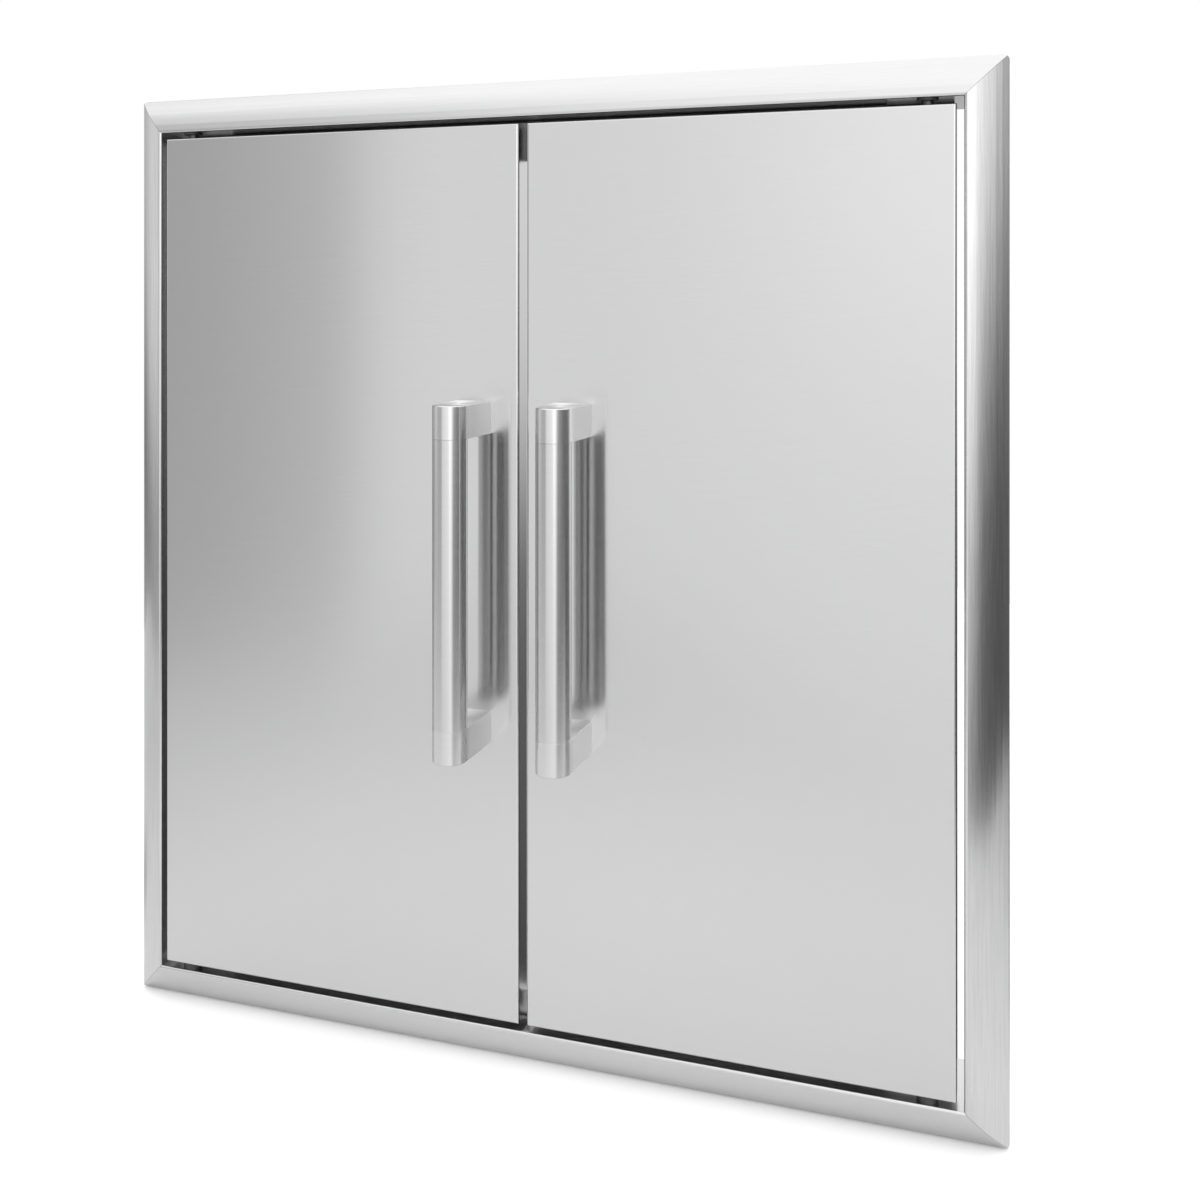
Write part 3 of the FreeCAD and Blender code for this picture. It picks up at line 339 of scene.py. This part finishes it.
floor_paint, floor_shader, place = new_material("pale_floor")
across, along, _ = parts_of(place)
# Painted pool of light: the card greys with distance from its palest spot in front of the
# frame.
away = ((across - PALEST[0]) ** 2 + (along - PALEST[1]) ** 2) ** 0.5
card = tint(away.ramp(0.05, 1.1), CARD_NEAR, CARD_FAR)
# Painted shadow: behind the doors the card turns nearly black, standing in for the doors'
# shadow.
behind = along.ramp(0.03, 0.13) * across.ramp(-0.75, -0.45)
card = tint(behind, card, CARD_PAINTED_SHADOW)
view_ray = add_node(place.tree, "ShaderNodeLightPath", output="Is Camera Ray")
feed(floor_shader, "Base Color", tint(view_ray, card, WHITE))
floor_shader.inputs["Roughness"].default_value = CARD_ROUGHNESS
floor_shader.inputs["Specular IOR Level"].default_value = 0.0
floor.data.materials.append(floor_paint)
print("floor at", round(CARD_MIDDLE[2], 4))

# %% [markdown]
# ## The camera
#
# The picture was taken from the right of the doors and from well above their middle,
# with the camera level: upright edges stay upright. A level camera that looks down
# needs its lens shifted, which is what `shift_y` does.

# %% The camera
PICTURE = 1200  # pixels each way
FOCAL, EYE_LEVEL = 1266.2, 304.4  # pixels: the focal length, and from the picture's top
SENSOR = 36  # millimetres
CAMERA_PLACE, CAMERA_TURN = (0.3466, -0.9283, 0.2067), 17.38  # metres, degrees
camera_data = bpy.data.cameras.new("camera")
camera = bpy.data.objects.new("camera", camera_data)
scene.collection.objects.link(camera)
camera.location = CAMERA_PLACE
camera.rotation_euler = (math.radians(90), 0, math.radians(CAMERA_TURN))
camera_data.sensor_width = SENSOR
camera_data.lens = FOCAL / PICTURE * SENSOR
camera_data.shift_y = (EYE_LEVEL - PICTURE / 2) / PICTURE
scene.camera = camera
print("lens", round(camera_data.lens, 2), "mm, shift", round(camera_data.shift_y, 4))


# %% [markdown]
# ## Brushed stainless
#
# The sheets were brushed with an abrasive belt. The belt leaves fine grooves that all
# run one way, and a groove spreads a reflection across itself, never along itself. So
# a handle's reflection in a door is drawn out up and down, because the doors' grain
# runs from side to side. Two things make that here: anisotropy on the shader, which
# spreads every reflection across the grain, and a very shallow bump of long thin
# streaks, which gives the eye the grooves themselves.
#
# Two details lie over the grain. Where two trims meet, a soft dark line marks the
# welded and polished mitre. A handle's post is brushed at its round front, like the bar,
# but its block, nearer the door, is blasted, which leaves it paler and duller.

# %% Brushed sheet
HALF_WIDTH, HALF_HEIGHT = cad_box[1].x, cad_box[1].z
STEEL = (1.0, 1.0, 1.005)  # times the tone: steel is a trace bluer than grey
COARSER = 0.4  # the coarse streaks' density against the fine ones'
FINE_SHARE, COARSE_SHARE = 0.65, 0.35
DARKEST, PALEST_STREAK = 0.25, 0.75  # the noise levels where the two tones are reached
CLOUDS = (6, 6, 6)
STREAK_ROUGHNESS, CLOUD_ROUGHNESS, BLAST_ROUGHNESS = 0.05, 0.03, 0.4
JOINT_GREY, BLAST_GREY = grey(0.4), grey(0.88)
JOINT_EDGES = (0.0001, 0.0006)


def mitre_joint(place):
    """1 on the lines where the trims meet, 0 off them."""
    x, _, z = parts_of(place)
    off = (x.maths("ABSOLUTE") - HALF_WIDTH) - (z.maths("ABSOLUTE") - HALF_HEIGHT)
    return 1 - off.maths("ABSOLUTE").ramp(*JOINT_EDGES)


def brushed(
    name, grain, tone=0.62, roughness=0.3, across=0.0, turn=0.0,
    shade=0.03, relief=0.000004, mitred=False, blasted=None,
):
    """Steel brushed along one axis: grain is the streaks' density along x, y and z.

    mitred draws the frame's corner joints. blasted holds the two places along y
    between which the brushed face gives way to a blasted one.
    """
    material, shader, place = new_material(name)
    fine = noise(place, grain, roughness=0.6)
    coarse = noise(place, tuple(g * COARSER for g in grain))
    cloud = noise(place, CLOUDS, detail=1.0)
    streak = fine * FINE_SHARE + coarse * COARSE_SHARE
    dark = tuple(tone * (1 - shade) * v for v in STEEL)
    pale = tuple(tone * (1 + shade) * v for v in STEEL)
    colour = tint(streak.ramp(DARKEST, PALEST_STREAK), dark, pale)
    rough = (fine - 0.5) * STREAK_ROUGHNESS + (cloud - 0.5) * CLOUD_ROUGHNESS + roughness
    if mitred:
        colour = tint(mitre_joint(place), colour, JOINT_GREY)
    if blasted:
        block = parts_of(place)[1].ramp(*blasted)
        colour = tint(block, colour, BLAST_GREY)
        rough = rough + block * BLAST_ROUGHNESS
    feed(shader, "Base Color", colour)
    feed(shader, "Roughness", rough)
    feed(shader, "Normal", bump(streak, relief))
    shader.inputs["Metallic"].default_value = 1.0
    shader.inputs["Anisotropic"].default_value = across
    shader.inputs["Anisotropic Rotation"].default_value = turn
    return material


print("mitre lines start at the corners", round(HALF_WIDTH, 4), round(HALF_HEIGHT, 4))

# %% [markdown]
# Each sheet has its own belt mark. The doors were brushed finely from side to side, the
# level trims along their length and the upright ones along theirs. The bars and posts
# were turned, so their grooves run round them. The shader's rotation is counted in full
# turns, so a quarter lays the spread of a reflection up and down.

# %% The brushed finishes
QUARTER = 0.25
POST_BLOCK = (-0.066, -0.056)  # metres along y: where a post's block begins
door_steel = brushed(
    "door_steel", (90, 90, 4200), roughness=0.15, across=1.0, turn=QUARTER,
    shade=0.02, relief=0.0000025,
)
frame_upright = brushed(
    "frame_steel_upright", (1500, 1500, 28), roughness=0.24, across=0.7,
    shade=0.1, mitred=True,
)
frame_level = brushed(
    "frame_steel_level", (40, 3200, 3200), roughness=0.24, mitred=True,
)
tube_steel = brushed(
    "tube_steel", (90, 90, 3200), tone=0.64, roughness=0.19, across=0.98, turn=QUARTER,
)
post_steel = brushed(
    "post_steel", (90, 90, 3200), tone=0.68, roughness=0.24, across=0.6, turn=QUARTER,
    blasted=POST_BLOCK,
)
liner_steel = brushed("liner_steel", (30, 30, 1400), tone=0.5, roughness=0.42)
rail_steel = brushed("rail_steel", (20, 1400, 1400))
# Painted shade: the top stop rail's steel is darkened for the shadow it sits in.
painted_shade_rail_steel = brushed("rail_steel_top_painted_shade", (20, 1400, 1400), tone=0.3, roughness=0.45)
belted = (
    door_steel, frame_upright, frame_level, tube_steel,
    post_steel, liner_steel, rail_steel, painted_shade_rail_steel,
)
print("brushed finishes made:", ", ".join(material.name for material in belted))


# %% [markdown]
# ## The small pieces' finishes
#
# Behind the doors there is plated and turned steel, black moulded plastic, a ceramic
# magnet and rubber. None of them is one flat colour: plating is a little cloudy, and
# moulding and sintering leave a fine grain. Two sizes of noise give each its clouds, and
# a third, far finer, gives its relief.

# %% Cloudy finishes
SPOTS, PATCHES, PORES = (160,) * 3, (20,) * 3, (1280,) * 3  # per metre
SPOT_SHARE, PATCH_SHARE = 0.4, 0.6
CLOUD_EDGES = (0.3, 0.7)  # the noise levels where the two tones are reached
STRAY = 0.12  # how far a tone strays from its middle, as a share of it
ROUGHNESS_STRAY, PORE_STRENGTH = 0.15, 0.4


def cloudy(name, tone, metallic, roughness, relief):
    """A finish that varies softly, as plating, moulding and sintering leave it."""
    material, shader, place = new_material(name)
    fine = noise(place, SPOTS, detail=4.0)
    broad = noise(place, PATCHES)
    patch = (fine * SPOT_SHARE + broad * PATCH_SHARE).ramp(*CLOUD_EDGES)
    dark = tuple(v * (1 - STRAY) for v in tone)
    pale = tuple(v * (1 + STRAY) for v in tone)
    feed(shader, "Base Color", tint(patch, dark, pale))
    feed(shader, "Roughness", (broad - 0.5) * ROUGHNESS_STRAY + roughness)
    feed(shader, "Normal", bump(noise(place, PORES), relief, PORE_STRENGTH))
    shader.inputs["Metallic"].default_value = metallic
    return material


CLOUDY = {  # tone, metallic, roughness, relief in metres
    "screw_steel": ((0.58, 0.58, 0.59), 1.0, 0.28, 0.00003),
    "bracket_steel": ((0.5, 0.5, 0.52), 1.0, 0.4, 0.00003),
    # The pins' near-black tone is painted shade: they show only through the dark gaps at
    # the doors' ends.
    "pin_steel": ((0.1, 0.1, 0.105), 1.0, 0.4, 0.00003),
    "spring_steel": ((0.5, 0.5, 0.51), 1.0, 0.32, 0.00003),
    "striker_steel": ((0.55, 0.55, 0.57), 1.0, 0.35, 0.00003),
    "bush_plastic": ((0.035, 0.035, 0.036), 0.0, 0.45, 0.00005),
    "catch_plastic": ((0.04, 0.04, 0.04), 0.0, 0.5, 0.00008),
    "magnet_ferrite": ((0.07, 0.07, 0.075), 0.2, 0.6, 0.0001),
    "bumper_rubber": ((0.03, 0.03, 0.03), 0.0, 0.7, 0.00008),
}
finishes = {name: cloudy(name, *look) for name, look in CLOUDY.items()}
print(len(finishes), "cloudy finishes made")

# %% [markdown]
# The imported record names a material slot for each piece, and most slots need only one
# finish. A few pieces need their own: a trim's grain follows its length, the bars are
# smoother than their posts, and the top stop rail gets a darker colour, which is painted
# shade for the shadow it sits in.
# A CAD node keeps its mesh, and only the material in its slot is changed.

# %% Give every imported piece its finish
finishes.update(
    liner_steel=liner_steel,
    rail_steel=rail_steel,
    door_steel=door_steel,
    handle_steel=post_steel,
)
own_finish = {
    "trim_left": frame_upright,
    "trim_right": frame_upright,
    "trim_top": frame_level,
    "trim_bottom": frame_level,
    "handle_tube_left": tube_steel,
    "handle_tube_right": tube_steel,
    "stop_rail_top": painted_shade_rail_steel,
}
slot_of = {row["node"]: row["material_slot"] for row in frame["record"]["subparts"]}
for name, node in nodes.items():
    node.data.materials[0] = own_finish.get(name) or finishes[slot_of[name]]
print("finishes given to", len(nodes), "pieces")

# %% [markdown]
# ## Working on one piece at a time
#
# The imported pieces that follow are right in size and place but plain: a screw head is a
# flat disc, a spring is a sleeve. Each is modelled again here the way it would be by
# hand, from one primitive shaped in edit mode. Every operator works on what is selected,
# so small helpers do the selecting: one starts from a clean slate, and the others go
# into edit mode with the whole mesh selected, or only the faces or edges that pass a
# test of where they are or which way they look.

# %% Selecting what an operator works on
MM = 0.001
BACK, FRONT = Vector((0, 1, 0)), Vector((0, -1, 0))
STRAIGHT_ON = 0.99  # the cosine of about 8 degrees


def pick_only(*pieces):
    """Selects these pieces and nothing else, and makes the first one active."""
    bpy.ops.object.select_all(action="DESELECT")
    for piece in pieces:
        piece.select_set(True)
    bpy.context.view_layer.objects.active = pieces[0]


def edit_all(piece):
    """Goes into edit mode with the whole mesh selected."""
    pick_only(piece)
    bpy.ops.object.mode_set(mode="EDIT")
    bpy.ops.mesh.select_mode(type="VERT")
    bpy.ops.mesh.select_all(action="SELECT")


def edit_some(piece, kind, wanted):
    """Goes into edit mode with only the wanted faces or edges selected."""
    pick_only(piece)
    bpy.ops.object.mode_set(mode="EDIT")
    bpy.ops.mesh.select_mode(type=kind)
    bpy.ops.mesh.select_all(action="DESELECT")
    bpy.ops.object.mode_set(mode="OBJECT")
    for element in piece.data.polygons if kind == "FACE" else piece.data.edges:
        element.select = wanted(element)
    bpy.ops.object.mode_set(mode="EDIT")


def to_object_mode():
    bpy.ops.object.mode_set(mode="OBJECT")


def looks(direction):
    """A test for faces that look in a direction."""
    return lambda face: face.normal.dot(direction) > STRAIGHT_ON


# %% [markdown]
# A finished piece has its place written into its mesh, its faces turned outwards, and
# smooth shading over its gentle edges. Copies are made by hand too: duplicate, move, and
# apply the move. Last, the piece takes an imported node's place, the node is hidden, and
# the piece rides on that node's body, so that it moves as the node does.

# %% Finishing, copying and standing in
MERGE = 0.000001  # metres: points nearer than this are one point
body_of = {
    node: body
    for body, members in frame["record"]["behaviour"]["bodies"].items()
    for node in members
}


def apply_place():
    """Writes the picked pieces' place, turn and size into their meshes."""
    bpy.ops.object.transform_apply(location=True, rotation=True, scale=True)


def settle(piece, angle=30):
    """Applies the place, turns all faces outwards and smooths the gentle edges."""
    pick_only(piece)
    apply_place()
    edit_all(piece)
    bpy.ops.mesh.remove_doubles(threshold=MERGE)
    bpy.ops.mesh.normals_make_consistent(inside=False)
    to_object_mode()
    bpy.ops.object.shade_smooth_by_angle(angle=math.radians(angle))


def copy_to(piece, shift):
    """A copy with its own mesh, moved by a shift that ends up in the mesh."""
    pick_only(piece)
    bpy.ops.object.duplicate(linked=False)
    bpy.ops.transform.translate(value=shift)
    apply_place()
    return bpy.context.object


def stand_for(piece, name, node):
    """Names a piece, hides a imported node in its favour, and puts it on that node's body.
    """
    piece.name = name
    piece.data.name = name
    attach(piece, body_of[node])
    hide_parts(node)
    print(name, len(piece.data.polygons), "faces")


def stand_in(name, node, parts):
    """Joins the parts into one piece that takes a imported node's place and finish."""
    pick_only(*parts)
    if len(parts) > 1:
        bpy.ops.object.join()
    piece = bpy.context.object
    piece.data.materials.clear()
    piece.data.materials.append(finishes[slot_of[node]])
    stand_for(piece, name, node)
    return piece


# %% [markdown]
# ## Cutting and rounding
#
# Three steps come back in several pieces. A round piece starts as a disc on the Y axis.
# Its rim is rounded by a bevel round one face. And a recess or a ground corner is cut
# with a second shape by a Boolean modifier, whose exact solver keeps thin steps clean.

# %% Discs, rims and cuts
ALONG_Y = (math.pi / 2, 0, 0)
ROUND = {"profile": 0.5, "affect": "EDGES"}  # a bevel with a circle's arc
DISC_SIDES = 40


def disc(middle, radius, depth):
    """A disc with its axis along Y."""
    bpy.ops.object.select_all(action="DESELECT")
    bpy.ops.mesh.primitive_cylinder_add(
        vertices=DISC_SIDES, radius=radius, depth=depth, location=middle, rotation=ALONG_Y
    )
    apply_place()
    return bpy.context.object


def round_rim(piece, direction, offset, segments):
    """Rounds the rim of the face that looks in a direction."""
    edit_some(piece, "FACE", looks(direction))
    bpy.ops.mesh.bevel(offset=offset, segments=segments, **ROUND)
    to_object_mode()


def cut(piece, operation, tool):
    """Keeps what the piece shares with a tool, or takes the tool's shape away."""
    pick_only(piece)
    cutting = piece.modifiers.new("cut", "BOOLEAN")
    cutting.operation = operation
    cutting.solver = "EXACT"
    cutting.object = tool
    bpy.ops.object.modifier_apply(modifier=cutting.name)


# %% [markdown]
# ## The frame's corners
#
# Four trims meet in mitres, and after welding the sharp tips are ground round so that
# nobody catches a sleeve on them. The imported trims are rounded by 3 mm there, and the
# real ones look rounder, about 4.5 mm. A trim could be built anew, but a cut changes
# only its tips: a copy of each trim is cut with a plate as large as the whole frame,
# whose four edges along Y are bevelled. Cutting all four trims with the same plate keeps
# both sides of every mitre on one curve.

# %% A plate with round corners
TIP, TIP_STEPS = 4.5 * MM, 10
PLATE_DEPTH = 0.3
bpy.ops.object.select_all(action="DESELECT")
bpy.ops.mesh.primitive_cube_add(size=1, location=(0, 0, 0))
plate = bpy.context.object
plate.scale = (2 * HALF_WIDTH, PLATE_DEPTH, 2 * HALF_HEIGHT)
apply_place()


def runs_back(edge):
    """Whether an edge of the plate runs from its front to its back."""
    start, end = (plate.data.vertices[i].co for i in edge.vertices)
    return abs(start.y - end.y) > PLATE_DEPTH / 2


edit_some(plate, "EDGE", runs_back)
bpy.ops.mesh.bevel(offset=TIP, segments=TIP_STEPS, **ROUND)
to_object_mode()
print("plate with", len(plate.data.polygons), "faces")

# %% [markdown]
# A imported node's mesh is loose triangles, so a copy of it is merged before it is cut.
# The cut splits the curved faces into long slivers, and plain smooth shading would show
# them as bands. The Weighted Normal modifier lets the large faces set the normals, which
# takes the bands away.

# %% Rounding the mitred tips
GENTLE = math.radians(31)  # edges that bend less are shaded smooth
for side in ("top", "bottom", "left", "right"):
    pick_only(nodes[f"trim_{side}"])
    bpy.ops.object.duplicate(linked=False)
    trim = bpy.context.object
    edit_all(trim)
    bpy.ops.mesh.remove_doubles(threshold=MERGE)
    to_object_mode()
    cut(trim, "INTERSECT", plate)
    bpy.ops.object.shade_smooth_by_angle(angle=GENTLE)
    weighted = trim.modifiers.new("normals", "WEIGHTED_NORMAL")
    weighted.mode = "FACE_AREA"
    weighted.keep_sharp = True
    bpy.ops.object.modifier_apply(modifier=weighted.name)
    stand_for(trim, f"mitred_trim_{side}", f"trim_{side}")
bpy.data.objects.remove(plate)

# %% [markdown]
# ## Screws and rivets
#
# A pan-head screw and a rivet are the same turned blank with different sizes: a disc for
# the head, its rim rounded over, and a thinner shank drawn out of the seat. Starting
# from the head keeps the round edge and the shank on one axis. Two crossed slots, each
# narrower at its bottom, are cut into a screw's head, because that is how the punch
# leaves the driver's recess: straight arms whose walls lean in.

# %% A turned blank with a rounded head and a shank
TAPER = 0.2  # how far a shank's tip leans in and stands out, as a share of its radius
LEAN = 0.6  # the size of a slot's bottom, as a share of its top


def headed_blank(seat, head_radius, head, shank_radius, shank, rounding):
    """A fastener along Y: seat is the middle of the head's underside."""
    middle = (seat[0], seat[1] + head / 2, seat[2])
    blank = disc(middle, head_radius, head)
    round_rim(blank, BACK, rounding, segments=5)
    edit_some(blank, "FACE", looks(FRONT))
    bpy.ops.mesh.inset(thickness=head_radius - shank_radius, depth=0)
    bpy.ops.mesh.extrude_region_move(TRANSFORM_OT_translate={"value": (0, -shank, 0)})
    bpy.ops.mesh.inset(thickness=shank_radius * TAPER, depth=0)
    bpy.ops.transform.translate(value=(0, -shank_radius * TAPER, 0))
    to_object_mode()
    return blank


def cross_recess(blank, back, arm, width, depth):
    """Two crossed slots, cut into the head from behind."""
    for turn in (0, math.pi / 2):
        bpy.ops.object.select_all(action="DESELECT")
        bpy.ops.mesh.primitive_cube_add(size=1, location=back, rotation=(0, turn, 0))
        slot = bpy.context.object
        slot.scale = (2 * arm, 2 * depth, width)
        apply_place()
        edit_some(slot, "FACE", looks(FRONT))
        bpy.ops.transform.resize(value=(LEAN, 1, LEAN))
        to_object_mode()
        cut(blank, "DIFFERENCE", slot)
        bpy.data.objects.remove(slot)


def pan_head_screw(x, z, tip, back, radius, rise, shank, rounding, arm, slot, depth):
    """A whole screw, from the y of its tip to the y of the back of its head."""
    seat = Vector((x, back - rise, z))
    straight = seat.y - tip - TAPER * shank
    screw = headed_blank(seat, radius, rise, shank, straight, rounding)
    cross_recess(screw, (seat.x, back, seat.z), arm, slot, depth)
    settle(screw)
    return screw


# %% [markdown]
# Each handle is held by two screws that come through the door from behind, one into each
# post. The upper left one is modelled and the other three are copies. They could be
# mirrored, but a mirror turns a mesh inside out, so they are moved into place instead.

# %% The handle screws
HANDLE_SCREW = {
    "radius": 6 * MM, "rise": 2.6 * MM, "shank": 3 * MM, "rounding": 1.5 * MM,
    "arm": 3.2 * MM, "slot": 1.1 * MM, "depth": 1.5 * MM,
}
low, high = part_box("handle_screws_left")
x, z = (low.x + high.x) / 2, high.z - HANDLE_SCREW["radius"]
screw = pan_head_screw(x, z, low.y, high.y, **HANDLE_SCREW)
right_screw = copy_to(screw, (-2 * x, 0, 0))
for side, one in (("left", screw), ("right", right_screw)):
    two = [one, copy_to(one, (0, 0, -2 * z))]
    stand_in(f"pan_head_screws_{side}", f"handle_screws_{side}", two)

# %% [markdown]
# Each magnetic catch is fixed to the top rail by two ears, with a small screw in each.
# They are the same kind of screw as the handles', so only the sizes change, and one
# screw is copied along the rail.

# %% The catch screws
CATCH_SCREW = {
    "radius": 3.5 * MM, "rise": 2.0 * MM, "shank": 1.75 * MM, "rounding": 1.1 * MM,
    "arm": 1.9 * MM, "slot": 0.7 * MM, "depth": 1.0 * MM,
}
EARS_APART, CATCHES_APART = 48 * MM, 120 * MM
low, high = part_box("catch_screws")
x, z = low.x + CATCH_SCREW["radius"], high.z - CATCH_SCREW["radius"]
screw = pan_head_screw(x, z, low.y, high.y, **CATCH_SCREW)
steps = (EARS_APART, CATCHES_APART, CATCHES_APART + EARS_APART)
row = [screw] + [copy_to(screw, (step, 0, 0)) for step in steps]
stand_in("catch_fixing_screws", "catch_screws", row)

# %% [markdown]
# A striker plate is held to its door by two rivets. A rivet's head has no recess, and it
# is rounded over nearly its whole height, so its shading is smoothed over steeper edges
# than a screw's.

# %% The strikers' rivets
PLATE, SHANK, SHANK_LENGTH, DOME = 1.5 * MM, 1.6 * MM, 1.2 * MM, 0.7 * MM
for side in ("left", "right"):
    low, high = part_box(f"striker_rivets_{side}")
    radius = (high.z - low.z) / 2
    seat = Vector((low.x + radius, low.y + PLATE, low.z + radius))
    rivet = headed_blank(seat, radius, high.y - seat.y, SHANK, SHANK_LENGTH, DOME)
    settle(rivet, angle=50)
    two = [rivet, copy_to(rivet, (high.x - low.x - 2 * radius, 0, 0))]
    stand_in(f"domed_rivets_{side}", f"striker_rivets_{side}", two)

# %% [markdown]
# ## The bumpers
#
# Four rubber buttons stop the doors softly. A moulded button has a rounded crown and a
# dimple where the mould's pin stood. Both come from one disc: its front rim is rounded
# over, and then its front is inset twice and pushed in. The last ring of the rounding
# leans by less than 8 degrees, so it is picked along with the flat face. The first inset
# therefore makes a lip that stands 0.1 mm proud, and the second one an undercut beneath
# it, which soft rubber lets a mould have.

# %% The rubber bumpers
CROWN, LIP, UNDERCUT, DIMPLE = 1.8 * MM, 1.2 * MM, 0.5 * MM, 0.6 * MM
INNER_STEP = 180 * MM  # from an outer bumper to the inner one of the same door
low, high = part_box("door_bumpers")
radius = (high.z - low.z) / 2
middle = (low.x + radius, (low.y + high.y) / 2, low.z + radius)
button = disc(middle, radius, high.y - low.y)
round_rim(button, FRONT, CROWN, segments=6)
edit_some(button, "FACE", looks(FRONT))
bpy.ops.mesh.inset(thickness=LIP, depth=0)
bpy.ops.mesh.inset(thickness=UNDERCUT, depth=0)
bpy.ops.transform.translate(value=(0, DIMPLE, 0))
to_object_mode()
settle(button)
span = high.x - low.x - 2 * radius
steps = (INNER_STEP, span - INNER_STEP, span)
row = [button] + [copy_to(button, (step, 0, 0)) for step in steps]
stand_in("rubber_buttons", "door_bumpers", row)


# %% [markdown]
# ## The pin springs
#
# Each upper pivot pin is held up by a small compression spring. A spring is one round
# wire wound at an even pitch, so a circle the size of the wire, moved out to the coil's
# radius, is drawn round the axis by a Screw modifier. Spinning in edit mode would do the
# same, but the modifier takes the height of a turn and the number of turns directly.
# The two open ends of the wire are filled. When the pin is drawn down, the real spring
# shortens from 30 to 17 mm.

# %% The springs
WIRE, COIL, TURNS = 0.6 * MM, 5.4 * MM, 8
WIRE_SIDES, TURN_STEPS = 12, 28
for side in ("left", "right"):
    low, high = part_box(f"pivot_spring_{side}")
    x, y = (low.x + high.x) / 2, (low.y + high.y) / 2
    bpy.ops.object.select_all(action="DESELECT")
    bpy.ops.mesh.primitive_circle_add(
        vertices=WIRE_SIDES, radius=WIRE, rotation=ALONG_Y
    )
    coil = bpy.context.object
    apply_place()
    edit_all(coil)
    bpy.ops.transform.translate(value=(COIL, 0, 0))
    to_object_mode()
    coil.location = (x, y, low.z + WIRE)
    winding = coil.modifiers.new("winding", "SCREW")
    winding.screw_offset = (high.z - low.z - 2 * WIRE) / TURNS
    winding.iterations = TURNS
    winding.steps = winding.render_steps = TURN_STEPS
    bpy.ops.object.modifier_apply(modifier=winding.name)
    edit_all(coil)
    bpy.ops.mesh.fill_holes(sides=0)
    to_object_mode()
    settle(coil, angle=60)
    spring = stand_in(f"coil_spring_{side}", f"pivot_spring_{side}", [coil])
    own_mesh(spring)
